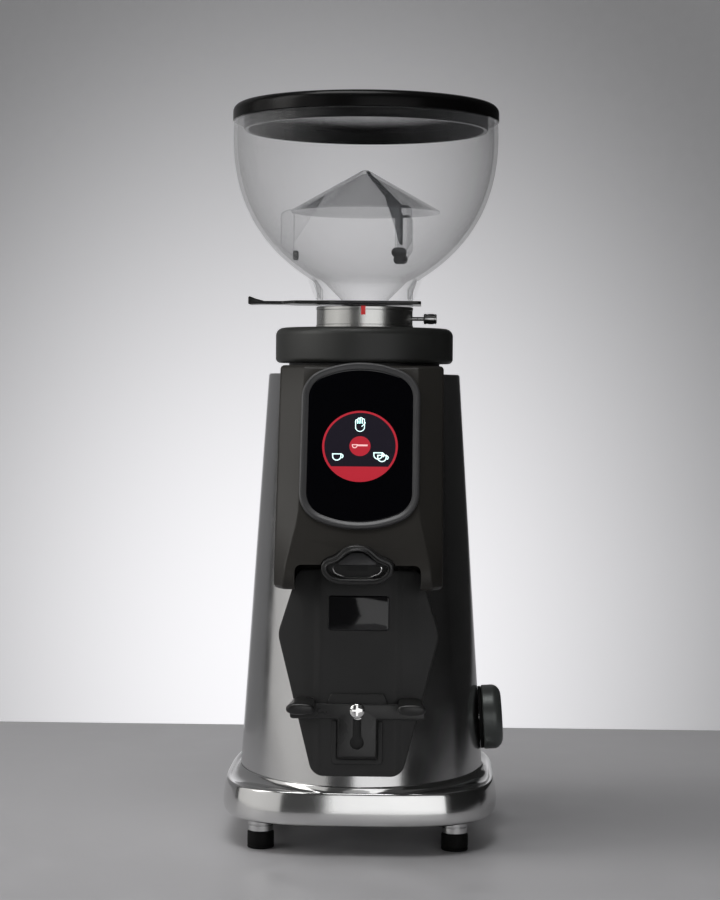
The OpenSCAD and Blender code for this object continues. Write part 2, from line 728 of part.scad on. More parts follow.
rubber_feet();
foot_collars();
foot_screws();
bottom_plate();
base_casting();
body_shell();
front_hood();
screen_bezel();
screen_glass();
display_module();
control_board();
spout();
spout_flap();
chute();
back_plate();
plate_studs();
sensor_window();
fork();
fork_screw();
fork_post();
load_cell();
load_cell_bracket();
power_knob();
knob_washer();
rotary_switch();
switch_shaft();
adjustment_ring();
thrust_ring();
hopper_collar();
index_mark();
lock_screw();
hopper();
gate_slide();
bean_baffle();
baffle_clips();
hopper_lid();
grinding_chamber();
guide_pins();
lower_burr();
lower_burr_screws();
lower_burr_carrier();
burr_nut();
upper_burr();
upper_burr_screws();
upper_burr_carrier();
chamber_pedestal();
motor_can();
motor_end_caps();
motor_bolts();
motor_mounts();
top_cover();
stator_core();
stator_windings();
rotor_core();
motor_shaft();
bearings();
cooling_fan();
start_capacitor();
power_board();
cable_gland();
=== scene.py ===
"""Looks of an upright burr coffee grinder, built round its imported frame.

Sizes are in millimetres inside the classes and become metres when a piece is added.
"""

import functools
import json
import logging
import math
from collections.abc import Callable, Sequence
from dataclasses import dataclass
from enum import Enum

import bmesh
import bpy
from mathutils import Matrix, Vector


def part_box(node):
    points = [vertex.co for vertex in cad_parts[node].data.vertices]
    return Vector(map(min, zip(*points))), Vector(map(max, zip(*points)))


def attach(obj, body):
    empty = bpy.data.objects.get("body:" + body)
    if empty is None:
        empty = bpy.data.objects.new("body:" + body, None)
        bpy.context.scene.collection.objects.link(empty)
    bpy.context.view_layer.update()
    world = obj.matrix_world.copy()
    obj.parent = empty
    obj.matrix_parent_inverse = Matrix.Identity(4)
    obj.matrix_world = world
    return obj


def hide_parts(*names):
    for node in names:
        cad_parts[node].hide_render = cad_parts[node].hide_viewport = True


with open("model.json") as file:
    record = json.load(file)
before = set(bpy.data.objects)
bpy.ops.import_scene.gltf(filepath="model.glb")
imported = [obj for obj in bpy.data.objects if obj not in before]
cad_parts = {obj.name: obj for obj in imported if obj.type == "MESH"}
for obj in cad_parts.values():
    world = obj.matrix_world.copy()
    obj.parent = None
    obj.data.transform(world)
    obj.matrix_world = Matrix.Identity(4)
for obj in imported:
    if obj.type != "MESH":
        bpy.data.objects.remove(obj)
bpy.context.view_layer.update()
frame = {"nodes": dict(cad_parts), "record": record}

log = logging.getLogger("grinder")
MM = 0.001
TURN = 2 * math.pi
Point = tuple[float, float]
Corner = tuple[float, float, float]
Colour = tuple[float, float, float]


class Grain(Enum):
    """How the small marks of a surface run, as a stretch along X, Y and Z."""

    MOULDED = (1.0, 1.0, 1.0)
    UPRIGHT = (1.0, 1.0, 0.02)
    LEVEL = (0.03, 0.03, 1.0)


@dataclass(frozen=True)
class Finish:
    """One finish, as a principled shader with colour, roughness and bump from noise.

    Args:
        name: name of the material.
        colour: middle colour of the surface.
        spread: share by which the colour strays to both sides.
        grain: how the marks run.
        grain_mm: size of the marks.
        depth: strength of the bump.
        wear: how much lighter the edges are.
    """

    name: str
    colour: Colour
    metallic: float = 0.0
    roughness: float = 0.5
    rough_spread: float = 0.06
    spread: float = 0.12
    grain: Grain = Grain.MOULDED
    grain_mm: float = 0.5
    depth: float = 0.1
    coat: float = 0.0
    clear: float = 0.0
    ior: float = 1.5
    film: float = 0.0
    glow: float = 0.0
    streaks: float = 0.0
    wear: float = 0.0
    specular: float = 0.5

    def shade(self, factor: float) -> tuple[float, float, float, float]:
        """The finish's colour, lighter or darker by a factor."""
        return (*(min(1.0, c * factor) for c in self.colour), 1.0)

    @functools.cache
    def build(self) -> bpy.types.Material:
        """Makes the material, once for each finish.

        Returns:
            The material, with its nodes.
        """
        material = bpy.data.materials.new(self.name)
        material.use_nodes = True
        nodes, links = material.node_tree.nodes, material.node_tree.links
        shader = nodes["Principled BSDF"]
        shader.inputs["Metallic"].default_value = self.metallic
        shader.inputs["Coat Weight"].default_value = self.coat
        shader.inputs["Coat Roughness"].default_value = 0.08
        shader.inputs["Transmission Weight"].default_value = self.clear
        shader.inputs["IOR"].default_value = self.ior
        shader.inputs["Specular IOR Level"].default_value = self.specular
        shader.inputs["Anisotropic"].default_value = self.streaks
        where = nodes.new("ShaderNodeTexCoord")
        stretch = nodes.new("ShaderNodeMapping")
        stretch.inputs["Scale"].default_value = [s / (self.grain_mm * MM) for s in self.grain.value]
        fine = nodes.new("ShaderNodeTexNoise")
        fine.inputs["Scale"].default_value = 1.0
        fine.inputs["Detail"].default_value = 3.0
        broad = nodes.new("ShaderNodeTexNoise")
        broad.inputs["Scale"].default_value = 28.0
        broad.inputs["Detail"].default_value = 4.0
        links.new(where.outputs["Object"], stretch.inputs["Vector"])
        links.new(stretch.outputs["Vector"], fine.inputs["Vector"])
        links.new(where.outputs["Object"], broad.inputs["Vector"])
        tint = nodes.new("ShaderNodeMix")
        tint.data_type = "RGBA"
        tint.inputs["A"].default_value = self.shade(1 - self.spread)
        tint.inputs["B"].default_value = self.shade(1 + self.spread)
        links.new(broad.outputs["Fac"], tint.inputs["Factor"])
        colour = tint.outputs["Result"]
        if self.wear:
            edges = nodes.new("ShaderNodeNewGeometry")
            rub = nodes.new("ShaderNodeMapRange")
            rub.inputs["From Min"].default_value = 0.52
            rub.inputs["From Max"].default_value = 0.62
            rub.inputs["To Max"].default_value = self.wear
            worn = nodes.new("ShaderNodeMix")
            worn.data_type = "RGBA"
            worn.inputs["B"].default_value = self.shade(2.2)
            links.new(edges.outputs["Pointiness"], rub.inputs["Value"])
            links.new(rub.outputs["Result"], worn.inputs["Factor"])
            links.new(colour, worn.inputs["A"])
            colour = worn.outputs["Result"]
        links.new(colour, shader.inputs["Base Color"])
        rough = nodes.new("ShaderNodeMapRange")
        rough.inputs["From Min"].default_value = 0.3
        rough.inputs["From Max"].default_value = 0.7
        rough.inputs["To Min"].default_value = max(0.0, self.roughness - self.rough_spread)
        rough.inputs["To Max"].default_value = self.roughness + self.rough_spread
        links.new(broad.outputs["Fac"], rough.inputs["Value"])
        links.new(rough.outputs["Result"], shader.inputs["Roughness"])
        bump = nodes.new("ShaderNodeBump")
        bump.inputs["Strength"].default_value = self.depth
        bump.inputs["Distance"].default_value = self.grain_mm * MM * 0.3
        links.new(fine.outputs["Fac"], bump.inputs["Height"])
        links.new(bump.outputs["Normal"], shader.inputs["Normal"])
        if self.film:
            rim = nodes.new("ShaderNodeLayerWeight")
            rim.inputs["Blend"].default_value = 0.24
            haze = nodes.new("ShaderNodeMapRange")
            haze.inputs["To Min"].default_value = self.film
            haze.inputs["To Max"].default_value = min(1.0, self.film + 0.52)
            links.new(rim.outputs["Facing"], haze.inputs["Value"])
            links.new(haze.outputs["Result"], shader.inputs["Alpha"])
        if self.glow:
            shader.inputs["Emission Color"].default_value = self.shade(1.0)
            shader.inputs["Emission Strength"].default_value = self.glow
        return material


POLISHED_SHELL = Finish("polished_shell", (0.60, 0.60, 0.60), 1.0, 0.17, 0.035, 0.05, Grain.UPRIGHT,
                        0.35, 0.05,
                        streaks=0.35)
POLISHED_BASE = Finish("polished_casting", (0.74, 0.74, 0.735), 1.0, 0.13, 0.03, 0.04, Grain.LEVEL, 0.5,
                       0.05)
COLLAR_STEEL = Finish("turned_steel", (0.60, 0.60, 0.585), 1.0, 0.24, 0.03, 0.05, Grain.LEVEL, 0.3, 0.08,
                      streaks=0.3)
BRIGHT_STEEL = Finish("bright_steel", (0.62, 0.62, 0.62), 1.0, 0.22, 0.05, 0.06, Grain.MOULDED, 0.4, 0.05)
CHROME = Finish("chrome", (0.86, 0.86, 0.85), 1.0, 0.07, 0.02, 0.03, Grain.MOULDED, 0.4, 0.02)
HOOD_PLASTIC = Finish("hood_plastic", (0.031, 0.029, 0.026), 0.0, 0.36, 0.03, 0.10, Grain.MOULDED, 0.35,
                      0.10,
                      wear=0.10, specular=0.22)
BLACK_PLASTIC = Finish("black_plastic", (0.018, 0.018, 0.018), 0.0, 0.46, 0.05, 0.15, Grain.MOULDED, 0.4,
                       0.12)
BEZEL_PLASTIC = Finish("bezel_plastic", (0.060, 0.060, 0.062), 0.0, 0.34, 0.03, 0.08, Grain.MOULDED, 0.3,
                       0.06)
PLATE_BLACK = Finish("plate_powder_coat", (0.018, 0.018, 0.018), 0.0, 0.52, 0.04, 0.10, Grain.MOULDED,
                     0.45, 0.22)
FORK_BLACK = Finish("fork_enamel", (0.016, 0.016, 0.016), 0.0, 0.30, 0.04, 0.10, Grain.MOULDED, 0.5,
                    0.08, wear=0.1)
RING_BLACK = Finish("ring_texture", (0.030, 0.031, 0.029), 0.0, 0.44, 0.05, 0.16, Grain.MOULDED, 0.8, 0.30)
LID_BLACK = Finish("lid_gloss", (0.005, 0.005, 0.005), 0.0, 0.24, 0.03, 0.10, Grain.MOULDED, 0.5, 0.03,
                   specular=0.12)
GATE_BLACK = Finish("shutter_plastic", (0.012, 0.012, 0.012), 0.0, 0.34, 0.05, 0.10, Grain.MOULDED, 0.5,
                    0.08)
SCREEN_BLACK = Finish("screen_glass", (0.0015, 0.0015, 0.0025), 0.0, 0.05, 0.01, 0.05, Grain.MOULDED,
                      2.0, 0.0,
                      specular=0.12)
SENSOR_BLACK = Finish("sensor_window", (0.004, 0.004, 0.005), 0.0, 0.06, 0.015, 0.05, Grain.MOULDED, 2.0,
                      0.01)
KNOB_BLACK = Finish("knob_anodised", (0.105, 0.114, 0.110), 0.45, 0.36, 0.04, 0.08, Grain.LEVEL, 0.4, 0.10)
RUBBER = Finish("rubber", (0.003, 0.003, 0.003), 0.0, 0.62, 0.06, 0.15, Grain.MOULDED, 0.5, 0.20,
                specular=0.15)
FLAP_RUBBER = Finish("flap_silicone", (0.014, 0.014, 0.015), 0.0, 0.55, 0.05, 0.10)
CLEAR = Finish("clear_bowl", (0.58, 0.585, 0.60), 0.0, 0.05, 0.02, 0.02, Grain.MOULDED, 6.0, 0.0,
               film=0.006)
CLEAR_PARTS = Finish("clear_baffle", (0.42, 0.44, 0.47), 0.0, 0.06, 0.02, 0.03, Grain.MOULDED, 5.0, 0.0,
                     film=0.06)
MACHINED = Finish("machined_aluminium", (0.50, 0.51, 0.52), 1.0, 0.34, 0.05, 0.06, Grain.LEVEL, 0.4, 0.10)
BURR_STEEL = Finish("burr_steel", (0.36, 0.36, 0.37), 1.0, 0.28, 0.05, 0.08, Grain.LEVEL, 0.3, 0.10)
COPPER = Finish("copper_wire", (0.55, 0.20, 0.07), 0.8, 0.34, 0.05, 0.15, Grain.LEVEL, 0.9, 0.60)
IRON = Finish("core_iron", (0.16, 0.16, 0.165), 0.8, 0.45, 0.06, 0.15, Grain.LEVEL, 0.5, 0.50)
BOARD = Finish("circuit_board", (0.010, 0.12, 0.05), 0.0, 0.40, 0.05, 0.20, Grain.MOULDED, 0.8, 0.15)
PALE_PLASTIC = Finish("pale_plastic", (0.60, 0.58, 0.52), 0.0, 0.46, 0.05, 0.06)
DISPLAY_BLUE = Finish("display_module", (0.02, 0.03, 0.06), 0.0, 0.30, 0.05, 0.10)
# Red enamel mark with a painted glow: its emission makes it brighter, though it is no lamp.
RED_MARK_PAINTED_GLOW = Finish("red_enamel_painted_glow", (0.72, 0.03, 0.03), 0.0, 0.35, 0.04, 0.06, glow=0.25)
SCREEN_RED = Finish("screen_red", (0.30, 0.012, 0.022), 0.0, 0.3, 0.02, 0.05, depth=0.0, glow=1.0)
SCREEN_DARK = Finish("screen_dark", (0.012, 0.010, 0.016), 0.0, 0.12, 0.02, 0.05, depth=0.0, glow=0.5)
SCREEN_WHITE = Finish("screen_white", (0.62, 0.86, 0.84), 0.0, 0.3, 0.02, 0.03, depth=0.0, glow=1.3)
SCREEN_PINK = Finish("screen_pink", (0.75, 0.45, 0.45), 0.0, 0.3, 0.02, 0.03, depth=0.0, glow=0.8)


def fillet(corners: Sequence[Corner], steps: int = 6, closed: bool = True) -> list[Point]:
    """Rounds the corners of an outline.

    Args:
        corners: each corner's place and its radius.
        steps: pieces in each arc.
        closed: whether the last corner runs on to the first.

    Returns:
        The outline's points, with an arc at each corner that has a radius.
    """
    points: list[Point] = []
    count = len(corners)
    for i, (x, y, radius) in enumerate(corners):
        if radius <= 0 or (not closed and i in (0, count - 1)):
            points.append((x, y))
            continue
        here = Vector((x, y))
        back = (Vector(corners[i - 1][:2]) - here).normalized()
        ahead = (Vector(corners[(i + 1) % count][:2]) - here).normalized()
        half = back.angle(ahead) / 2
        middle = here + (back + ahead).normalized() * (radius / math.sin(half))
        start = here + back * (radius / math.tan(half)) - middle
        end = here + ahead * (radius / math.tan(half)) - middle
        sweep = start.angle_signed(end)
        for k in range(steps + 1):
            arm = start.copy()
            arm.rotate(Matrix.Rotation(-sweep * k / steps, 2))
            points.append(tuple(middle + arm))
    return points


def oval(points: int, a: float, front: float, rear: float, square: float = 2.0) -> list[Point]:
    """A superellipse seen from above, with its own reach in front (-Y) and behind.

    Args:
        points: how many points it has.
        a: half of its width.
        front: reach towards -Y.
        rear: reach towards +Y.
        square: 2 is an ellipse, more is squarer.

    Returns:
        The outline's points, anticlockwise.
    """
    def bent(v: float) -> float:
        return math.copysign(abs(v) ** (2 / square), v)

    angles = [TURN * i / points for i in range(points)]
    return [(a * bent(math.cos(t)),
             (front if math.sin(t) < 0 else rear) * bent(math.sin(t))) for t in angles]


def stroke(points: Sequence[Point], width: float) -> list[Point]:
    """The outline of a line of a given width that is drawn through the points."""
    left: list[Point] = []
    right: list[Point] = []
    for i, point in enumerate(points):
        before = Vector(points[max(0, i - 1)])
        after = Vector(points[min(len(points) - 1, i + 1)])
        along = (after - before).normalized()
        side = Vector((-along.y, along.x)) * width / 2
        left.append(tuple(Vector(point) + side))
        right.append(tuple(Vector(point) - side))
    return left + right[::-1]


def arc(x: float, y: float, radius: float, start: float, end: float, steps: int = 10) -> list[Point]:
    """Points on an arc, with its angles in degrees."""
    angles = [math.radians(start + (end - start) * k / steps) for k in range(steps + 1)]
    return [(x + radius * math.cos(t), y + radius * math.sin(t)) for t in angles]


class Form:
    """A shape in the making: each method adds one body that bmesh operators shape."""

    def __init__(self) -> None:
        """Starts an empty shape."""
        self.mesh = bpy.data.meshes.new("form")
        self.bm = bmesh.new()

    def take(self, part: bmesh.types.BMesh, at: Matrix | None = None) -> "Form":
        """Adds a finished body to the shape.

        Args:
            part: the body, which is freed.
            at: where it goes, or None to leave it where it is.

        Returns:
            This form, so that calls can follow each other.
        """
        if at is not None:
            bmesh.ops.transform(part, matrix=at, verts=part.verts)
        bmesh.ops.recalc_face_normals(part, faces=part.faces)
        part.to_mesh(self.mesh)
        part.free()
        self.bm.from_mesh(self.mesh)
        return self

    def lathe(self, profile: Sequence[Point], steps: int = 96, closed: bool = True,
              at: Matrix | None = None) -> "Form":
        """Spins a profile of radius and height round Z; an open one starts and ends on the axis."""
        part = bmesh.new()
        verts = [part.verts.new((r, 0, z)) for r, z in profile]
        edges = [part.edges.new(pair) for pair in zip(verts, verts[1:])]
        if closed:
            edges.append(part.edges.new((verts[-1], verts[0])))
        bmesh.ops.spin(part, geom=verts + edges, cent=(0, 0, 0), axis=(0, 0, 1), dvec=(0, 0, 0), angle=TURN,
                       steps=steps, use_merge=True, use_duplicate=False)
        bmesh.ops.remove_doubles(part, verts=part.verts, dist=1e-4)
        return self.take(part, at)

    def slab(self, outline: Sequence[Point], low: float, high: float, bevel: float = 0.0,
             at: Matrix | None = None, cuts: Sequence[float] = (),
             bend: Callable[[float], float] | None = None,
             segments: int = 3) -> "Form":
        """Extrudes an outline from one height to another.

        Args:
            outline: the outline in X and Y.
            low: height of the lower face.
            high: height of the upper face.
            bevel: width of the rounding on the rims.
            at: where the slab goes.
            cuts: values of X at which the slab is cut, so that it can bend there.
            bend: gives the drop of the slab at a value of X.
            segments: pieces in the rounding.

        Returns:
            This form.
        """
        part = bmesh.new()
        face = part.faces.new([part.verts.new((x, y, low)) for x, y in outline])
        grown = bmesh.ops.extrude_face_region(part, geom=[face])["geom"]
        top = [v for v in grown if isinstance(v, bmesh.types.BMVert)]
        bmesh.ops.translate(part, verts=top, vec=(0, 0, high - low))
        if bevel:
            rims = [e for e in part.edges if abs(e.verts[0].co.z - e.verts[1].co.z) < 1e-6]
            bmesh.ops.bevel(part, geom=rims, offset=bevel, affect="EDGES", segments=segments, profile=0.5,
                            material=-1, clamp_overlap=True)
        for x in cuts:
            bmesh.ops.bisect_plane(part, geom=part.verts[:] + part.edges[:] + part.faces[:], dist=1e-5,
                                   plane_co=(x, 0, 0), plane_no=(1, 0, 0))
        if bend:
            for v in part.verts:
                v.co.z -= bend(v.co.x)
        return self.take(part, at)

    def bar(self, low: Sequence[float], high: Sequence[float], bevel: float = 0.4, at: Matrix | None = None,
            segments: int = 2) -> "Form":
        """A block between two corners, with rounded edges."""
        part = bmesh.new()
        size = Vector(high) - Vector(low)
        place = Matrix.Translation((Vector(high) + Vector(low)) / 2) @ Matrix.Diagonal((*size, 1))
        bmesh.ops.create_cube(part, size=1.0, matrix=place)
        if bevel:
            bmesh.ops.bevel(part, geom=part.edges[:], offset=bevel, affect="EDGES", segments=segments,
                            profile=0.5,
                            material=-1, clamp_overlap=True)
        return self.take(part, at)

    def loft(self, rings: Sequence[Sequence[Vector]], closed: bool = True, caps: bool = False,
             cycle: bool = False,
             wall: float = 0.0, at: Matrix | None = None) -> "Form":
        """Extrudes a first ring of points through the others.

        Args:
            rings: rings with the same number of points.
            closed: whether each ring is closed.
            caps: whether the first and last rings are filled.
            cycle: whether the last ring is bridged back to the first.
            wall: thickness that is given to the surface, inwards.
            at: where it goes.

        Returns:
            This form.
        """
        part = bmesh.new()
        verts = [part.verts.new(p) for p in rings[0]]
        edges = [part.edges.new(pair) for pair in zip(verts, verts[1:])]
        if closed:
            edges.append(part.edges.new((verts[-1], verts[0])))
        first = edges
        for ring in rings[1:]:
            grown = bmesh.ops.extrude_edge_only(part, edges=edges)["geom"]
            edges = [e for e in grown if isinstance(e, bmesh.types.BMEdge)]
            born = [v for v in grown if isinstance(v, bmesh.types.BMVert)]
            for v, place in zip(born, ring):
                v.co = place
        if cycle:
            bmesh.ops.bridge_loops(part, edges=first + edges)
        if caps:
            for loop in (first, edges):
                bmesh.ops.contextual_create(part, geom=loop)
        if wall:
            bmesh.ops.recalc_face_normals(part, faces=part.faces)
            bmesh.ops.solidify(part, geom=part.faces[:], thickness=wall)
        return self.take(part, at)


class Piece:
    """A piece of the object: a form that has become a Blender object and rides on a body."""

    def __init__(self, name: str, form: Form, finish: Finish, crease: float = 32.0) -> None:
        """Makes the object.

        Args:
            name: name of the piece.
            form: its shape in millimetres, which is freed.
            finish: its finish.
            crease: angle in degrees above which an edge stays sharp.
        """
        mesh = bpy.data.meshes.new(name)
        bmesh.ops.transform(form.bm, matrix=Matrix.Scale(MM, 4), verts=form.bm.verts)
        form.bm.to_mesh(mesh)
        form.bm.free()
        bpy.data.meshes.remove(form.mesh)
        self.obj = bpy.data.objects.new(name, mesh)
        bpy.context.scene.collection.objects.link(self.obj)
        mesh.materials.append(finish.build())
        self.crease = crease
        self.smooth()

    def smooth(self) -> None:
        """Shades the faces smooth, apart from the creases."""
        self.obj.data.shade_smooth()
        self.obj.data.set_sharp_from_angle(angle=math.radians(self.crease))

    def carve(self, *tools: Form) -> "Piece":
        """Cuts the tools' shapes out of the piece with exact booleans.

        Args:
            tools: the shapes to cut out, which are freed.

        Returns:
            This piece.
        """
        finish = self.obj.data.materials[0]
        for form in tools:
            tool = Piece("tool", form, BLACK_PLASTIC)
            cut = self.obj.modifiers.new("cut", "BOOLEAN")
            cut.operation, cut.solver, cut.object = "DIFFERENCE", "EXACT", tool.obj
            shown = self.obj.evaluated_get(bpy.context.evaluated_depsgraph_get())
            result = bpy.data.meshes.new_from_object(shown)
            self.obj.modifiers.clear()
            self.obj.data = result
            bpy.data.objects.remove(tool.obj)
        self.obj.data.materials.clear()
        self.obj.data.materials.append(finish)
        self.smooth()
        return self

    def ride(self, body: str, slot: str, *replaced: str) -> bpy.types.Object:
        """Puts the piece on a body.

        Args:
            body: the body that it moves with.
            slot: the record's material slot; not used.
            replaced: the CAD nodes that it stands for.

        Returns:
            The Blender object.
        """
        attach(self.obj, body)
        if replaced:
            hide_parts(*replaced)
        log.info("%s: %d faces on %s", self.obj.name, len(self.obj.data.polygons), body)
        return self.obj


def low(node: str) -> Vector:
    """Lowest corner of a CAD node, in millimetres."""
    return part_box(node)[0] / MM


def high(node: str) -> Vector:
    """Highest corner of a CAD node, in millimetres."""
    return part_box(node)[1] / MM


def middle(node: str) -> Vector:
    """Middle of a CAD node's box, in millimetres."""
    return (low(node) + high(node)) / 2


def lean_of(node: str, thickness: float) -> float:
    """Angle by which a flat CAD node of a known thickness leans back from upright, in radians."""
    size = high(node) - low(node)
    lean = 0.0
    for _ in range(8):
        lean = math.atan2(size.y - thickness * math.cos(lean), size.z - thickness * math.sin(lean))
    return lean


def facing(place: Vector, lean: float) -> Matrix:
    """Frame on a face that leans back: X across, Y up the slope and Z outwards."""
    return Matrix.Translation(place) @ Matrix.Rotation(math.pi / 2 - lean, 4, "X")


def wrap(circles: Sequence[Corner], grow: float = 0.0, steps: int = 96) -> list[Point]:
    """The outline of a band that is stretched round circles.

    Args:
        circles: middle and radius of each circle.
        grow: how far outside them the outline runs.
        steps: how many points it has.

    Returns:
        The outline's points, anticlockwise.
    """
    points: list[Point] = []
    for i in range(steps):
        t = TURN * (i + 0.5) / steps
        x, y, radius = max(circles, key=lambda c: c[0] * math.cos(t) + c[1] * math.sin(t) + c[2])
        points.append((x + (radius + grow) * math.cos(t), y + (radius + grow) * math.sin(t)))
    return points


def level(outline: Sequence[Point], z: float, y: float = 0.0) -> list[Vector]:
    """Lays an outline flat at a height, moved along Y."""
    return [Vector((px, py + y, z)) for px, py in outline]


@dataclass
class Shell:
    """The polished steel shell, an oval tube that leans in towards its top."""

    half: Point = (77.5, 61.0)
    deep: Point = (96.0, 60.0)
    shift: Point = (8.0, 5.0)
    wall: float = 2.0
    points: int = 160

    def __post_init__(self) -> None:
        """Reads the shell's heights from the frame."""
        self.foot, self.top = low("body_shell").z, high("body_shell").z

    def part(self, pair: Point, z: float) -> float:
        """The value at a height of a size that is known at the foot and the top."""
        return pair[0] + (pair[1] - pair[0]) * (z - self.foot) / (self.top - self.foot)

    def ring(self, z: float, grow: float = 0.0) -> list[Vector]:
        """The shell's outline at a height, grown outwards."""
        deep = self.part(self.deep, z) + grow
        plan = oval(self.points, self.part(self.half, z) + grow, deep, deep)
        return level(plan, z, self.part(self.shift, z))

    def solid(self, bottom: float, top: float, grow: float) -> Form:
        """The space inside the shell between two heights, as a tool for cutting."""
        return Form().loft([self.ring(bottom, grow), self.ring(top, grow)], caps=True)

    def build(self) -> None:
        """Makes the shell with its rolled rims, cooling slots and openings."""
        f, t, w = self.foot, self.top, self.wall
        outer = [(f, 0.0), (f + 60, 0.0), (f + 120, 0.0), (f + 180, 0.0), (t - 1.2, 0.0),
                 (t - 0.3, -0.4), (t, -1.0)]
        inner = [(t - 0.3, -w + 0.3), (t - 1.2, -w), (f + 120, -w), (f, -w)]
        form = Form().loft([self.ring(z, g) for z, g in outer + inner], cycle=True)
        piece = Piece("shell", form, POLISHED_SHELL)
        window = Form().bar((-44, -120, 186), (44, -30, 316), 0.0)
        slots = Form()
        for i in range(6):
            x = -30 + 12 * i
            slots.slab([(px + x, py) for px, py in stroke_oval(4.0, 40.0)], 40, 120,
                       at=Matrix.Translation((0, 160, 235)) @ Matrix.Rotation(math.pi / 2, 4, "X"))
        piece.carve(window, slots)
        piece.ride("housing", "shell_steel", "body_shell")


def stroke_oval(width: float, height: float) -> list[Point]:
    """The outline of a slot with round ends, centred on the origin and upright."""
    r = width / 2
    return wrap([(0.0, height / 2 - r, r), (0.0, r - height / 2, r)], steps=24)


@dataclass
class Base:
    """The cast base with its feet, bottom plate and the ledge round the shell's foot."""

    shell: Shell
    half: float = 86.2
    front: float = 93.0
    rear: float = 118.0
    square: float = 3.4
    rubber_r: float = 8.2
    rim: tuple[Point, ...] = ((17.5, 5.6), (17.55, 4.2), (18.0, 2.7), (18.8, 1.5), (20.0, 0.65),
                              (21.5, 0.2),
                              (23.2, 0.05), (26.5, 0.2), (31.0, 0.85), (35.6, 1.55), (37.2, 1.85),
                              (38.0, 2.15),
                              (38.35, 2.7), (38.3, 3.4), (38.1, 4.2))

    def plan(self, inset: float) -> list[Point]:
        """The base's outline, moved inwards."""
        return oval(self.shell.points, self.half - inset, self.front - inset, self.rear - inset,
                    self.square)

    def ledge(self, share: float, z: float) -> list[Vector]:
        """A line on the ledge, at a share of the way from the base's rim to the shell's foot."""
        outer = level(self.plan(4.0), z)
        inner = self.shell.ring(self.shell.foot, 1.3)
        return [Vector((*a.lerp(b, share).xy, z)) for a, b in zip(outer, inner)]

    def build(self) -> None:
        """Makes the casting, the feet and their collars."""
        foot = self.shell.foot
        rings = [level(self.plan(12.0), 33.8), level(self.plan(12.0), 22.6), level(self.plan(8.9), 22.4),
                 level(self.plan(8.9), 17.7)]
        rings += [level(self.plan(inset), z) for z, inset in self.rim]
        rings += [self.ledge(share, z) for share, z in
                  ((0.12, 37.7), (0.35, 37.2), (0.6, 37.3), (0.8, 38.0), (0.93, 39.2), (0.99, 40.5))]
        ring = self.shell.ring
        rings += [ring(foot, 1.2), [Vector((*p.xy, foot + 0.5)) for p in ring(foot, 1.0)],
                  [Vector((*p.xy, foot + 0.8)) for p in ring(foot, 0.55)],
                  [Vector((*p.xy, foot + 0.6)) for p in ring(foot, 0.06)],
                  [Vector((*p.xy, foot - 0.1)) for p in ring(foot, 0.04)]]
        casting = Form().loft(rings, caps=True)
        Piece("base", casting, POLISHED_BASE, 40).ride("housing", "cast_aluminium", "base_casting")
        feet, collars = Form(), Form()
        x, y0, y1 = high("rubber_feet").x - self.rubber_r, low("rubber_feet").y, high("rubber_feet").y
        top, deck = high("rubber_feet").z, high("foot_collars").z
        r = self.rubber_r
        for place in [(sx * x, y, 0) for sx in (-1, 1) for y in (y0 + r, y1 - r)]:
            at = Matrix.Translation(place)
            feet.lathe([(0, 0.6), (3.6, 0.6), (4.2, 0.0), (r - 0.7, 0.0), (r - 0.2, 0.25), (r, 0.8),
                        (r, 1.6),
                        (r - 0.35, 1.9), (r - 0.35, 2.2), (r, 2.5), (r, top - 0.9), (r - 0.25, top - 0.25),
                        (r - 0.8, top), (0, top)], 48, closed=False, at=at)
            collars.lathe([(2.6, top + 0.05), (7.1, top + 0.05), (7.65, top + 0.5), (7.65, top + 3.6),
                           (7.3, top + 3.9), (7.3, top + 4.3), (7.65, top + 4.6), (7.65, deck - 0.4),
                           (7.2, deck), (2.6, deck)], 48, at=at)
        Piece("feet", feet, RUBBER).ride("housing", "rubber", "rubber_feet")
        Piece("foot_rings", collars, BRIGHT_STEEL).ride("housing", "steel", "foot_collars")


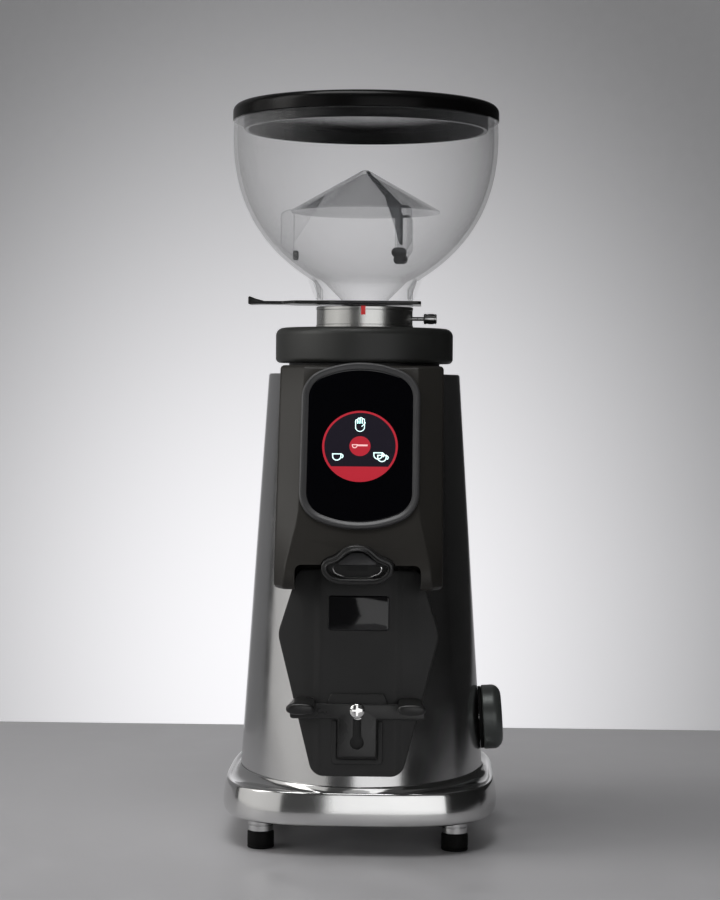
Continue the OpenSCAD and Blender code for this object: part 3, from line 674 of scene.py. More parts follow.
@dataclass
class Hood:
    """The dark hood that leans down the front, with its side facets and the arch over the spout."""

    shell: Shell
    half: float = 50.5
    wall: float = 3.0
    back: float = -15.0
    face: tuple[Point, ...] = ((293.0, -57.5), (186.0, -99.6), (178.0, -102.6), (173.0, -104.0),
                               (168.0, -104.4),
                               (162.0, -103.0))
    panel: tuple[Point, ...] = ((296.0, 35.0), (205.0, 36.2), (190.0, 40.0), (178.0, 43.0), (162.0, 45.0))
    facet: float = 9.0
    arch_z: float = 177.0
    arch_half: float = 37.6

    @staticmethod
    def read(table: Sequence[Point], z: float) -> float:
        """Reads a table of heights and values, going straight between its rows."""
        for (z1, v1), (z0, v0) in zip(table, table[1:]):
            if z >= z0 or (z0, v0) == table[-1]:
                return v1 + (v0 - v1) * (z - z1) / (z0 - z1)
        return table[-1][1]

    def section(self, z: float, inset: float) -> list[Vector]:
        """The hood's outline at a height, moved inwards at its front and sides."""
        y = self.read(self.face, z) + inset
        panel = self.read(self.panel, z) - inset * 0.6
        half = self.half - inset
        corners = [(half, self.back, 0), (-half, self.back, 0), (-half, y + self.facet, 3.0),
                   (-panel, y, 2.6),
                   (panel, y, 2.6), (half, y + self.facet, 3.0)]
        return level(fillet(corners, 5), z)

    def body(self, rows: Sequence[Point]) -> Form:
        """Lofts the hood's outlines at rows of height and inset."""
        return Form().loft([self.section(z, inset) for z, inset in rows], caps=True)

    def build(self, screen: "Screen", spout: "Spout") -> None:
        """Makes the hood and cuts its openings."""
        top, bottom = high("front_hood").z, low("front_hood").z
        rows = [(top, 2.6), (top - 0.25, 1.4), (top - 0.9, 0.5), (top - 2.0, 0.0), (260, 0), (230, 0),
                (208, 0),
                (200, 0), (193, 0), (186, 0), (181, 0), (177, 0), (173, 0), (168, 0), (bottom + 2.2, 0.0),
                (bottom + 0.8, 0.8), (bottom + 0.1, 2.0)]
        inner = [(top - self.wall, self.wall)] + [(z, self.wall) for z in (260, 208, 193, 186, 177, 173,
                                                                           168, 150)]
        ring_room = Form().lathe([(0, 150), (self.half, 150), (self.half, 400), (0, 400)], 128,
                                 closed=False)
        arch = Form().slab(fillet([(-self.arch_half, 100, 0), (self.arch_half, 100, 0),
                                   (self.arch_half, self.arch_z, 4.0),
                                   (-self.arch_half, self.arch_z, 4.0)], 5),
                           60, 140, at=Matrix.Rotation(math.pi / 2, 4, "X"))
        hole = Form().slab(screen.outline(screen.rim), -22, 12, at=screen.place)
        groove = Form().slab(spout.around(0.8), 99.5, 125, at=spout.frame)
        notches = Form()
        for x in (-33.5, 33.5):
            notches.slab(wrap([(x - 3.5, -62.5, 2.4), (x + 3.5, -62.5, 2.4)], steps=32), top - 1.1, top + 1)
        piece = Piece("hood", self.body(rows), HOOD_PLASTIC, 28)
        piece.carve(self.body(inner), arch, self.shell.solid(140, 300, 0.4), hole, groove, ring_room,
                    notches)
        piece.ride("housing", "hood_plastic", "front_hood")


@dataclass
class Screen:
    """The touch screen in its bezel, with a generic picture of a hand, cups and a filter holder."""

    corner: float = 14.9
    crown: float = 56.0
    half: Point = (31.8, 49.25)
    rim: float = 4.5
    proud: float = 2.0
    glass: float = 2.2
    dial_r: float = 22.9
    dial_y: float = -1.0
    line: float = 0.62

    def __post_init__(self) -> None:
        """Finds the screen's frame from its glass."""
        lean = lean_of("screen_glass", self.glass)
        outwards = Vector((0, -math.cos(lean), math.sin(lean)))
        self.place = facing(middle("screen_glass") - outwards * 0.1, lean)
        self.face = 1.15
        reach = self.half[0] - self.corner
        self.turn = math.degrees(math.asin(reach / (self.crown - self.corner)))

    def outline(self, grow: float) -> list[Point]:
        """The screen's outline, grown outwards: straight sides, wide crowns and round corners."""
        reach, rise = self.half[0] - self.corner, self.half[1] - self.crown
        up = rise + math.sqrt((self.crown - self.corner) ** 2 - reach * reach)
        points: list[Point] = []
        for sign in (1, -1):
            start = 0 if sign > 0 else 180
            points += arc(sign * reach, sign * up, self.corner + grow, start, start + 90 - self.turn, 12)
            points += arc(0, sign * rise, self.crown + grow, start + 90 - self.turn,
                          start + 90 + self.turn, 16)[1:-1]
            points += arc(-sign * reach, sign * up, self.corner + grow, start + 90 + self.turn,
                          start + 180, 12)
        return points

    def paint(self, name: str, outlines: Sequence[Sequence[Point]], finish: Finish, layer: int) -> None:
        """Lays flat shapes just above the glass, each layer over the one before."""
        form = Form()
        base = self.face + 0.03 * layer
        for outline in outlines:
            form.slab([(x, y + self.dial_y) for x, y in outline], base, base + 0.03, at=self.place)
        Piece(name, form, finish).ride("housing", "display")

    def cup(self, x: float, y: float) -> list[list[Point]]:
        """Outlines of a small cup with its handle."""
        w = self.line
        bowl = arc(0, 0.6, 2.5, 180, 360, 12)
        shape = [(-2.5, 1.9), *bowl, (2.5, 1.9)]
        ear = arc(2.6, 0.7, 1.15, -80, 85, 8)
        rim = [(-2.9, 2.1), (2.9, 2.1)]
        return [[(px + x, py + y) for px, py in stroke(line, w)] for line in (shape, ear, rim)]

    def hand(self, x: float, y: float) -> list[list[Point]]:
        """Outlines of a raised hand."""
        w = self.line
        palm = [(-2.7, 1.4), (-2.7, -1.0), *arc(0, -1.4, 2.7, 180, 360, 12), (2.7, 0.4), (3.0, 1.8)]
        lines = [palm, [(-2.7, 1.2), (-2.7, 2.6)], [(1.0, -1.0), (2.2, 0.3), (3.1, 1.9)]]
        for i, tip in enumerate((3.4, 4.5, 4.8, 4.0)):
            left = -2.7 + 1.32 * i
            lines.append([(left, 1.0), (left, tip - 0.6), *arc(left + 0.66, tip - 0.6, 0.66, 180, 0, 6),
                          (left + 1.32, 1.0)])
        return [[(px + x, py + y) for px, py in stroke(line, w * 0.85)] for line in lines]

    def picture(self) -> None:
        """Paints the dial and its icons."""
        r, w = self.dial_r, self.line
        circle = arc(0, 0, r, 0, 360, 96)[:-1]
        self.paint("dial_ground", [arc(0, 0, r - 1.3, 0, 360, 96)[:-1]], SCREEN_DARK, 1)
        self.paint("dial_rim", [circle], SCREEN_RED, 0)
        chord = -13.1
        start = math.degrees(math.asin(chord / (r - 1.2)))
        self.paint("dial_band", [arc(0, 0, r - 1.2, 180 - start, 360 + start, 32)], SCREEN_RED, 2)
        self.paint("dial_button", [arc(0, 0, 6.4, 0, 360, 48)[:-1]], SCREEN_RED, 3)
        self.paint("cup_icons", self.cup(-13.9, -7.2) + self.cup(11.0, -6.3) + self.cup(13.4, -7.9),
                   SCREEN_WHITE, 3)
        self.paint("hand_icon", self.hand(-0.2, 13.6), SCREEN_WHITE, 3)
        basket = [(-4.6, 0.6), *arc(-3.2, 0.3, 1.4, 180, 360, 8), (-1.8, 0.6)]
        holder = [stroke(basket, w), stroke([(-4.9, 0.9), (-1.4, 0.9)], w),
                  stroke([(-1.6, 0.5), (4.6, 0.5)], 1.1)]
        self.paint("holder_icon", holder, SCREEN_PINK, 4)

    def build(self) -> None:
        """Makes the glass, the bezel and the picture."""
        top = self.face
        glass = Form()
        steps = ((-1.0, -0.02), (0.5, -0.02), (0.95, -0.15), (1.1, -0.5), (1.14, -1.1), (top, -3.0))
        glass.loft([level(self.outline(g), z) for z, g in steps], caps=True, at=self.place)
        Piece("screen", glass, SCREEN_BLACK, 40).ride("housing", "screen_glass", "screen_glass")
        r, p = self.rim, self.proud
        rows = [(-4.0, 0.02), (-4.0, r), (0.6, r), (1.3, r - 0.12), (p - 0.25, r - 0.55), (p, r - 1.25),
                (p, r - 1.9), (p - 0.3, 1.6), (p - 0.65, 0.7), (1.25, 0.15), (0.9, 0.02)]
        bezel = Form().loft([level(self.outline(g), z) for z, g in rows], cycle=True, at=self.place)
        Piece("bezel", bezel, BEZEL_PLASTIC, 50).ride("housing", "bezel_plastic", "screen_bezel")
        self.picture()


@dataclass
class Spout:
    """The bell-shaped spout with its double lip, slanted deflector and wide mouth."""

    bell: tuple[Point, ...] = ((0.0, 12.0), (3.2, 11.7), (6.2, 10.8), (8.8, 9.2), (10.9, 7.2), (13.0, 5.4),
                               (15.4, 4.2), (18.0, 3.3), (20.2, 1.9), (21.4, -0.2), (21.5, -2.8),
                               (20.4, -5.6),
                               (18.0, -8.3), (14.6, -10.3), (10.6, -11.3), (5.5, -11.5))

    def __post_init__(self) -> None:
        """Finds the spout's frame: X across, Y up and Z towards the front."""
        self.frame = Matrix.Translation((0, 0, middle("spout").z - 0.25)) @ Matrix.Rotation(math.pi / 2,
                                                                                            4, "X")
        self.back, self.front = -high("spout").y, -low("spout").y

    def ring(self, z: float, grow: float) -> list[Vector]:
        """The spout's outline at a distance to the front, grown outwards."""
        return level(self.around(grow), z)

    def around(self, grow: float) -> list[Point]:
        """The bell's outline, moved outwards along its own normals."""
        half = list(self.bell)
        line = half + [(0.0, half[-1][1])] + [(-x, y) for x, y in half[:0:-1]]
        points: list[Point] = []
        for i, (x, y) in enumerate(line):
            back, ahead = Vector(line[i - 1]), Vector(line[(i + 1) % len(line)])
            along = (ahead - back).normalized()
            points.append((x - along.y * grow, y + along.x * grow))
        return points

    def build(self) -> None:
        """Makes the lips, the deflector and the rim of the mouth."""
        b, f = self.back, self.front
        rows = [(b, -0.3), (b + 4, 0.0), (f - 4.2, 0.0), (f - 2.6, -0.1), (f - 2.0, -0.45),
                (f - 1.75, -1.1),
                (f - 1.9, -1.7), (f - 1.6, -2.15), (f - 0.6, -2.35), (f - 0.15, -2.55), (f, -2.8),
                (f - 0.1, -3.1),
                (f - 0.7, -3.4), (f - 2.4, -3.6), (f - 6.0, -3.7), (b + 1, -3.8)]
        lips = Form().loft([self.ring(z, g) for z, g in rows], cycle=True, at=self.frame)
        Piece("spout_lips", lips, FORK_BLACK, 50).ride("housing", "spout_plastic", "spout")
        # The deflector takes the lighter bezel grey, not the spout's black: painted light for its lit upper
        # face.
        deflector = Form()
        outline = fillet([(-14.2, 0.2, 1.2), (14.2, 0.2, 1.2), (3.4, 7.4, 2.2), (-3.4, 7.4, 2.2)], 5)
        tilt = self.frame @ Matrix.Translation((0, 0, f - 3.6)) @ Matrix.Rotation(math.radians(-16), 4, "X")
        deflector.slab(outline, -1.2, 0.0, 0.4, at=tilt)
        Piece("spout_deflector", deflector, BEZEL_PLASTIC).ride("housing", "spout_plastic")
        corners = [(-15.2, -0.4, 1.4), (-13.6, -4.6, 3.0), (-6.5, -7.5, 6.0), (6.5, -7.5, 6.0),
                   (13.6, -4.6, 3.0),
                   (15.2, -0.4, 1.4)]
        mouth = fillet(corners, 6)
        inner = fillet([(x * 0.975, y * 0.95 - 0.05, r) for x, y, r in corners], 6)
        at = self.frame
        rim = Form().loft([level(mouth, f - 3.4), level(mouth, f - 2.6), level(inner, f - 2.5),
                           level(inner, f - 3.4)],
                          cycle=True, at=at)
        Piece("spout_mouth", rim, CHROME).ride("housing", "spout_plastic")
        back = Form().slab(self.around(-3.7), b + 0.2, b + 1.2, at=at)
        Piece("spout_back", back, BLACK_PLASTIC).ride("housing", "spout_plastic")


@dataclass
class Rest:
    """The back plate behind the filter holder, with its window, guide rib, fork and screw."""

    lean: float = 0.0
    middle_z: float = 110.0
    thick: float = 4.0
    shelf: Point = (83.0, 92.0)
    stem_low: float = 60.5
    stem_half: float = 11.6
    bar_half: float = 40.5
    eye_z: float = 69.2
    eye_r: float = 4.2
    screw_z: float = 88.0
    flat_half: float = 22.0

    def __post_init__(self) -> None:
        """Finds the plate's frame from its window."""
        self.lean = lean_of("sensor_window", 2.0)
        up = Vector((0, math.sin(self.lean), math.cos(self.lean)))
        out = Vector((0, -math.cos(self.lean), math.sin(self.lean)))
        window = middle("sensor_window")
        window_up = (window.z + 0.4 * math.sin(self.lean) - self.middle_z) / math.cos(self.lean)
        self.window_y = window_up
        self.place = facing(window + out * 0.4 - up * window_up, self.lean)

    def up(self, z: float) -> float:
        """Distance up the plate of a height above the table."""
        return (z - self.middle_z) / math.cos(self.lean)

    def bend(self, x: float) -> float:
        """How far the plate drops back at a distance from its middle."""
        past = max(0.0, abs(x) - self.flat_half)
        step = min(1.0, past / 5.0)
        return 0.9 * step * step * (3 - 2 * step) + 0.13 * max(0.0, past - 4.0)

    def plate(self) -> None:
        """Makes the plate with its recess and guide rib."""
        up = self.up
        circles = [(s * x, y, r) for s in (-1, 1) for x, y, r in
                   ((32.7, up(172) - 6, 6.0), (33.5, up(133), 15.0), (20.0, up(49) + 9, 9.0))]
        cuts = [s * x for s in (-1, 1) for x in (21, 22, 23, 24, 25, 26, 27, 28, 32, 36, 40)]
        slab = Form().slab(wrap(circles), -self.thick, 0, 1.0, self.place, cuts, self.bend)
        w, y = 18.6, self.window_y
        recess = Form().slab(fillet([(-w, y - 10.6, 2), (w, y - 10.6, 2), (w, y + 10.6, 2),
                                     (-w, y + 10.6, 2)], 4),
                             -1.45, 5, at=self.place)
        hole = Form().slab(arc(0, up(self.screw_z), 5.6, 0, 360, 40)[:-1], -10, 10, at=self.place)
        Piece("rest_plate", slab, PLATE_BLACK, 24).carve(recess, hole).ride("housing", "plate_black",
                                                                            "back_plate")
        rib = [(-15.4, up(82), 0.6), (-15.4, up(56), 2.4), (15.4, up(56), 2.4), (15.4, up(82), 0.6),
               (12.3, up(82), 0.6), (12.3, up(59.2), 0.7), (-12.3, up(59.2), 0.7), (-12.3, up(82), 0.6)]
        Piece("guide_rib", Form().slab(fillet(rib, 5), -0.4, 1.6, 0.55, self.place), PLATE_BLACK).ride(
            "housing", "plate_black")
        glass = fillet([(-18.4, y - 10.4, 1.8), (18.4, y - 10.4, 1.8), (18.4, y + 10.4, 1.8),
                        (-18.4, y + 10.4, 1.8)], 5)
        Piece("window", Form().slab(glass, -1.38, 0.6, 0.45, self.place), SENSOR_BLACK).ride(
            "housing", "sensor_black", "sensor_window")

    def prong(self, side: int) -> list[list[Vector]]:
        """Rings of a flat round prong that runs forwards and lifts a little at its inner edge."""
        box_low, box_high = low("fork"), high("fork")
        tip = box_low.y
        rings = []
        for along, width in ((0.0, 0.86), (0.3, 0.88), (0.6, 0.93), (0.8, 0.97), (0.9, 1.0), (0.95, 0.985),
                             (0.975, 0.93), (0.99, 0.82), (1.0, 0.62)):
            y = -88.3 + (tip + 88.3) * along
            centre = 31.9 + 1.0 * along
            ring = []
            for px, pz in oval(40, 8.3 * width, 3.35 * width, 3.35 * width, 2.5):
                curl = max(0.0, (-px - 4.5) / 3.8) ** 2 * 0.9 if pz > 0 else 0.0
                ring.append(Vector((side * (centre + px), y, 93.4 + pz + min(curl, 0.25))))
            rings.append(ring)
        return rings

    def fork(self) -> None:
        """Makes the fork with its keyhole and prongs, and the screw that holds it."""
        up = self.up
        b, s, shelf = self.bar_half, self.stem_half, self.shelf
        outline = [(-s, up(self.stem_low), 1.0), (s, up(self.stem_low), 1.0), (s, up(shelf[0]), 0.8),
                   (b, up(shelf[0]), 1.8), (b, up(shelf[1]), 1.8), (-b, up(shelf[1]), 1.8),
                   (-b, up(shelf[0]), 1.8),
                   (-s, up(shelf[0]), 0.8)]
        body = Form().slab(fillet(outline, 5), 0.1, 4.1, 0.6, self.place)
        keyhole = Form().slab(arc(0, up(self.eye_z), self.eye_r, 0, 360, 40)[:-1], -2, 8, at=self.place)
        slot = Form().slab(wrap([(0, up(self.eye_z), 2.5), (0, up(self.screw_z), 2.5)], steps=40), -2, 8,
                           at=self.place)
        Piece("rest_fork", body, FORK_BLACK).carve(keyhole, slot).ride("fork", "plate_black", "fork")
        bump = fillet([(-18.6, up(shelf[1]) - 0.5, 0), (18.6, up(shelf[1]) - 0.5, 0),
                       (16.2, up(shelf[1]) + 6.2, 1.6),
                       (-16.2, up(shelf[1]) + 6.2, 1.6)], 5)
        Piece("fork_ramp", Form().slab(bump, 0.12, 2.0, 0.7, self.place), PLATE_BLACK).ride("fork",
                                                                                            "plate_black")
        arms = Form()
        for side in (-1, 1):
            arms.loft(self.prong(side), caps=True)
        Piece("fork_prongs", arms, FORK_BLACK, 50).ride("fork", "plate_black")
        at = self.place @ Matrix.Translation((0, up(self.screw_z), 4.2))
        head = Form().lathe([(0, -13.9), (2.4, -13.9), (2.4, 0), (4.3, 0), (4.75, 0.4), (4.75, 1.0),
                             (4.3, 1.9),
                             (3.2, 2.6), (1.8, 2.95), (0, 3.0)], 48, closed=False, at=at)
        across = Form().bar((-3.1, -0.55, 1.6), (3.1, 0.55, 4), 0.0, at)
        upright = Form().bar((-0.55, -3.1, 1.6), (0.55, 3.1, 4), 0.0, at)
        Piece("clamp_screw", head, CHROME).carve(across, upright).ride("fork_screw", "chrome", "fork_screw")

    def build(self) -> None:
        """Makes the plate, then the fork."""
        self.plate()
        self.fork()


@dataclass
class Knob:
    """The round switch knob on the right side, with a deep rounded rim."""

    shell: Shell
    r: float = 20.5

    def build(self) -> None:
        """Makes the knob and its pointer."""
        tilt = math.atan((self.shell.half[0] - self.shell.half[1]) / (self.shell.top - self.shell.foot))
        box_low, box_high = low("power_knob"), high("power_knob")
        reach = (box_high.x - box_low.x - 2 * self.r * math.sin(tilt)) / math.cos(tilt)
        at = Matrix.Translation(middle("power_knob")) @ Matrix.Rotation(math.pi / 2 - tilt, 4, "Y")
        h = reach / 2
        r = self.r
        profile = [(0, -h), (r - 1.2, -h), (r - 0.4, -h + 0.3), (r, -h + 0.9), (r, h - 6.4)]
        profile += [(r - 7.0 + 7.0 * math.cos(t), h - 6.0 + 6.0 * math.sin(t)) for t in
                    [math.radians(a) for a in range(6, 91, 6)]]
        profile += [(r - 7.6, h - 0.3), (r - 8.2, h - 0.5), (r - 8.8, h - 0.3), (4, h - 0.05),
                    (0, h - 0.05)]
        body = Form().lathe(profile, 120, closed=False, at=at)
        seat = [(5.3, -h - 1.85), (19.6, -h - 1.85), (19.9, -h - 1.6), (19.9, -h - 0.35), (19.6, -h - 0.1),
                (5.3, -h - 0.1)]
        Piece("knob_seat", Form().lathe(seat, 96, at=at), RUBBER).ride("housing", "black_plastic",
                                                                       "knob_washer")
        line = Form().slab(wrap([(-19.0, 0, 0.7), (-12.0, 0, 0.7)], steps=24), h - 1.3, h + 2, at=at)
        Piece("knob", body, KNOB_BLACK, 30).carve(line).ride("power_knob", "knob_black", "power_knob")


@dataclass
class GrindRing:
    """The wide adjustment ring with its soft leathery grain, and the steel collar over it."""

    def build(self) -> None:
        """Makes the ring, the collar and the lock screw."""
        r, z0, z1 = high("adjustment_ring").x, low("adjustment_ring").z, high("adjustment_ring").z
        bore, thread, lip = 31.6, 38.05, 316.5
        side = [(r - 3 + 3 * math.sin(math.radians(a)), z0 + 3 - 3 * math.cos(math.radians(a)))
                for a in range(0, 91, 10)]
        side += [(r - 5 + 5 * math.cos(math.radians(a)), z1 - 5 + 5 * math.sin(math.radians(a)))
                 for a in range(0, 91, 7)]
        side += [(50.2, z1), (49.6, z1 - 0.35), (49.0, z1 - 0.35), (48.4, z1)]
        ring = Form().lathe([(bore + 0.5, z1), (bore, z1 - 0.5), (bore, lip), (thread, lip),
                             (thread, z0)] + side, 160)
        Piece("grind_ring", ring, RING_BLACK, 30).ride("grind_ring", "ring_black", "adjustment_ring")
        c0, c1 = low("hopper_collar").z, high("hopper_collar").z
        o, i = 30.94, 29.62
        rows = [(i, c0), (36, c0), (36, c0 + 2), (o - 0.25, c0 + 2), (o - 0.25, c0 + 8.4), (o, c0 + 8.6),
                (o, c0 + 10.0), (o - 0.3, c0 + 10.3), (o - 0.3, c1 - 2.2), (o, c1 - 1.9), (o, c1 - 0.35),
                (o - 0.35, c1), (i + 0.3, c1), (i, c1 - 0.3)]
        Piece("collar", Form().lathe(rows, 128), COLLAR_STEEL, 24).ride("burr_carrier", "collar_steel",
                                                                       "hopper_collar")
        x0, x1 = low("lock_screw").x, high("lock_screw").x
        at = Matrix.Translation((0, 0, middle("lock_screw").z)) @ Matrix.Rotation(math.pi / 2, 4, "Y")
        neck = x1 - 8.3
        screw = [(0, x0), (1.0, x0), (1.25, x0 + 0.4), (1.25, neck), (2.7, neck), (3.25, neck + 0.35),
                 (3.35, neck + 0.7), (3.35, neck + 1.7), (3.0, neck + 2.0), (3.0, neck + 2.5),
                 (3.35, neck + 2.8),
                 (3.35, x1 - 1.9), (3.0, x1 - 1.6), (3.0, x1 - 1.2), (3.25, x1 - 0.9), (3.1, x1 - 0.3),
                 (2.6, x1),
                 (0, x1)]
        Piece("hopper_lock", Form().lathe(screw, 48, closed=False, at=at), BRIGHT_STEEL, 30).ride(
            "lock_screw", "steel", "lock_screw")


@dataclass
class Hopper:
    """The clear bowl with its neck ribs, the shutter, the baffle on three legs and the lid."""

    wall: float = 2.5
    neck_r: float = 30.8
    steps: int = 30
    leg_angles: tuple[float, ...] = (180.0, 60.0, -60.0)
    cone_r: float = 47.7
    cone_z: float = 394.0
    cone_top: float = 421.0
    throat: float = 15.0

    def __post_init__(self) -> None:
        """Reads the bowl's rim from the frame."""
        self.rim_z, self.foot_z = high("hopper").z, low("hopper").z
        self.curve = ((84.0, self.rim_z), (88.0, 395.0), (60.0, 366.0), (33.0, 350.0))
        self.gate_z = 335.0

    def bezier(self, t: float) -> tuple[Vector, Vector]:
        """Place and direction on the bowl's outer curve, which is a cubic."""
        p = [Vector(v) for v in self.curve]
        place = (1 - t) ** 3 * p[0] + 3 * (1 - t) ** 2 * t * p[1] + 3 * (1 - t) * t * t * p[2] + t ** 3 * p[3]
        along = (1 - t) ** 2 * (p[1] - p[0]) + 2 * (1 - t) * t * (p[2] - p[1]) + t * t * (p[3] - p[2])
        return place, along.normalized()

    def bowl(self) -> None:
        """Makes the bowl, its slot and the ribs on its neck."""
        outer, inner = [], []
        for i in range(self.steps + 1):
            place, along = self.bezier(i / self.steps)
            outer.append((place.x, place.y))
            inward = Vector((along.y, -along.x))
            inner.append((place.x + self.wall * inward.x, place.y + self.wall * inward.y))
        outer[0] = (84.0, self.rim_z - 0.5)
        n, g, i0 = self.neck_r, self.gate_z, self.foot_z
        profile = [(83.5, self.rim_z)] + outer
        profile += [(31.6, 347.6), (n, 344.6), (n, 333.95), (29.55, 333.95), (29.55, i0 + 0.6), (29.0, i0),
                    (26.4, i0), (26.0, i0 + 0.5), (26.0, g - 1.8), (15.4, g - 1.8), (self.throat, g - 1.4),
                    (self.throat, g + 2.8), (15.6, g + 3.6), (26.6, 349.6), (28.2, 350.7)]
        profile += inner[:0:-1] + [(84.0 - self.wall, self.rim_z - 0.5), (84.4 - self.wall, self.rim_z)]
        slot = Form().bar((-50, -22.3, g - 0.3), (50, 22.3, g + 2.3), 0.0)
        Piece("hopper_bowl", Form().lathe(profile, 160), CLEAR,
              30).carve(slot).ride("hopper", "clear_plastic", "hopper")
        ribs = Form()
        outline = fillet([(30.3, 338.6, 0), (31.4, 338.6, 0.5), (36.2, 351.2, 0.6), (34.9, 351.4, 0.4),
                          (30.3, 345.0, 0.8)], 3)
        for angle in (24, -24, 156, 204, 0, 180):
            turn = Matrix.Rotation(math.radians(angle), 4, "Z") @ Matrix.Rotation(math.pi / 2, 4, "X")
            ribs.slab(outline, -1.1, 1.1, 0.3, turn)
        Piece("neck_ribs", ribs, CLEAR_PARTS, 30).ride("hopper", "clear_plastic")

    def gate(self) -> None:
        """Makes the shutter with its throat hole and wedge grip."""
        x0, x1, g = low("gate_slide").x, high("gate_slide").x, self.gate_z
        w, lever = 22.0, 9.0
        outline = fillet([(x0, -lever, 2.5), (-52.0, -lever, 4.0), (-44.0, -w, 3.0), (x1, -w, 3.0),
                          (x1, w, 3.0),
                          (-44.0, w, 3.0), (-52.0, lever, 4.0), (x0, lever, 2.5)], 5)
        slide = Form().slab(outline, g + 0.02, g + 1.98, 0.3)
        hole = Form().slab(arc(0, 0, self.throat, 0, 360, 64)[:-1], g - 2, g + 4)
        Piece("gate", slide, GATE_BLACK).carve(hole).ride("gate", "gate_black", "gate_slide")
        grip = fillet([(x0 + 0.05, g - 0.25, 0.9), (x0 + 0.05, g + 5.3, 0.9), (x0 + 5, g + 3.4, 4.0),
                       (x0 + 10.5, g + 1.95, 0), (x0 + 10.5, g + 0.2, 0)], 5)
        Piece("gate_grip", Form().slab(grip, -8.9, 8.9, 0.7, Matrix.Rotation(math.pi / 2, 4, "X")),
              GATE_BLACK).ride("gate", "gate_black")

    def baffle(self) -> None:
        """Makes the umbrella with its ridges, gussets, legs and rubber feet."""
        z, top, r = self.cone_z, self.cone_top, self.cone_r
        rows = [(0.0, top), (1.6, top - 0.25), (3.0, top - 0.9), (r - 0.4, z + 1.0), (r, z + 0.4),
                (r - 0.3, z - 0.2),
                (r - 1.4, z), (2.6, top - 2.9), (0.0, top - 2.2)]
        Piece("baffle", Form().lathe(rows, 120, closed=False), CLEAR_PARTS, 26).ride("hopper",
                                                                                     "clear_plastic",
                                                                                    "bean_baffle")
        legs, feet, webs = Form(), Form(), Form()
        leg = fillet([(45.4, 365.0, 0.8), (53.9, 372.2, 1.6), (53.9, z - 0.6, 3.4), (48.6, z + 1.6, 1.2),
                      (45.4, z + 1.4, 0)], 4)
        web = [(26.0, 404.6), (45.6, z - 0.2), (45.6, 376.0), (44.4, 376.0)]
        slope = math.atan2(top - z, r)
        for angle in self.leg_angles:
            upright = Matrix.Rotation(math.radians(angle), 4, "Z") @ Matrix.Rotation(math.pi / 2, 4, "X")
            legs.slab(leg, -3.95, 3.95, 1.6, upright, segments=3)
            webs.slab(web, -0.9, 0.9, 0.25, upright)
            ridge = Matrix.Rotation(math.radians(angle), 4, "Z") @ Matrix.Translation((2.0, 0, top - 1.0))
            webs.bar((0, -1.1, -0.6), (49.5, 1.1, 0.55), 0.4, ridge @ Matrix.Rotation(slope, 4, "Y"))
            seat = Matrix.Rotation(math.radians(angle), 4, "Z") @ Matrix.Translation((44.3, 0, 366.4))
            pad = wrap([(0, -1.8, 3.0), (0, 1.8, 3.0)], steps=40)
            feet.slab(pad, -1.6, 1.6, 0.6, seat @ Matrix.Rotation(math.pi / 2, 4, "Y"))
        Piece("baffle_legs", legs, CLEAR_PARTS, 30).ride("hopper", "clear_plastic")
        Piece("baffle_webs", webs, CLEAR_PARTS, 30).ride("hopper", "clear_plastic")
        Piece("baffle_feet", feet, RUBBER).ride("hopper", "rubber", "baffle_clips")

    def lid(self) -> None:
        """Makes the lid with its rounded edge, skirt and a shallow groove round its top."""
        z0, z1, r = low("hopper_lid").z, high("hopper_lid").z, high("hopper_lid").x
        seat = self.rim_z + 0.1
        edge = [(r - 5 + 5 * math.cos(math.radians(a)), z1 - 5 + 5 * math.sin(math.radians(a)))
                for a in range(0, 91, 9)]
        rows = [(0, z1), (74.0, z1), (74.6, z1 - 0.3), (75.4, z1 - 0.3), (76.0, z1)] + edge[::-1]
        rows += [(r, seat + 0.5), (r - 0.5, seat), (77.7, seat), (77.7, z0 + 1.0), (77.2, z0),
                 (75.6, z0), (75.0, z0 + 0.5),
                 (75.0, seat + 2), (74.0, seat + 3.0), (0, seat + 3.0)]
        Piece("lid", Form().lathe(rows, 160, closed=False), LID_BLACK, 28).ride("lid", "lid_black",
                                                                                "hopper_lid")

    def build(self) -> None:
        """Makes every part of the hopper."""
        self.bowl()
        self.gate()
        self.baffle()
        self.lid()


FINISHES: dict[str, Finish] = {
    "rubber": RUBBER, "steel": BRIGHT_STEEL, "chrome": CHROME, "cast_aluminium": MACHINED,
    "shell_steel": POLISHED_SHELL, "collar_steel": COLLAR_STEEL, "hood_plastic": HOOD_PLASTIC,
    "black_plastic": BLACK_PLASTIC, "bezel_plastic": BEZEL_PLASTIC, "screen_glass": SCREEN_BLACK,
    "display": DISPLAY_BLUE, "circuit": BOARD, "spout_plastic": FORK_BLACK, "flap_rubber": FLAP_RUBBER,
    "plate_black": PLATE_BLACK, "sensor_black": SENSOR_BLACK, "machined_aluminium": MACHINED,
    "knob_black": KNOB_BLACK, "switch_plastic": PALE_PLASTIC, "ring_black": RING_BLACK,
    "red_mark": RED_MARK_PAINTED_GLOW, "clear_plastic": CLEAR_PARTS, "gate_black": GATE_BLACK, "lid_black": LID_BLACK,
    "burr_steel": BURR_STEEL, "core_iron": IRON, "copper": COPPER,
}


def dress_works() -> None:
    """Gives each CAD node that still shows the finish of its material slot."""
    for row in frame["record"]["subparts"]:
        node = frame["nodes"][row["node"]]
        if node.hide_render:
            continue
        finish = FINISHES[row["material_slot"]].build()
        node.data.materials.clear()
        node.data.materials.append(finish)
        log.info("%s: %s", row["node"], finish.name)


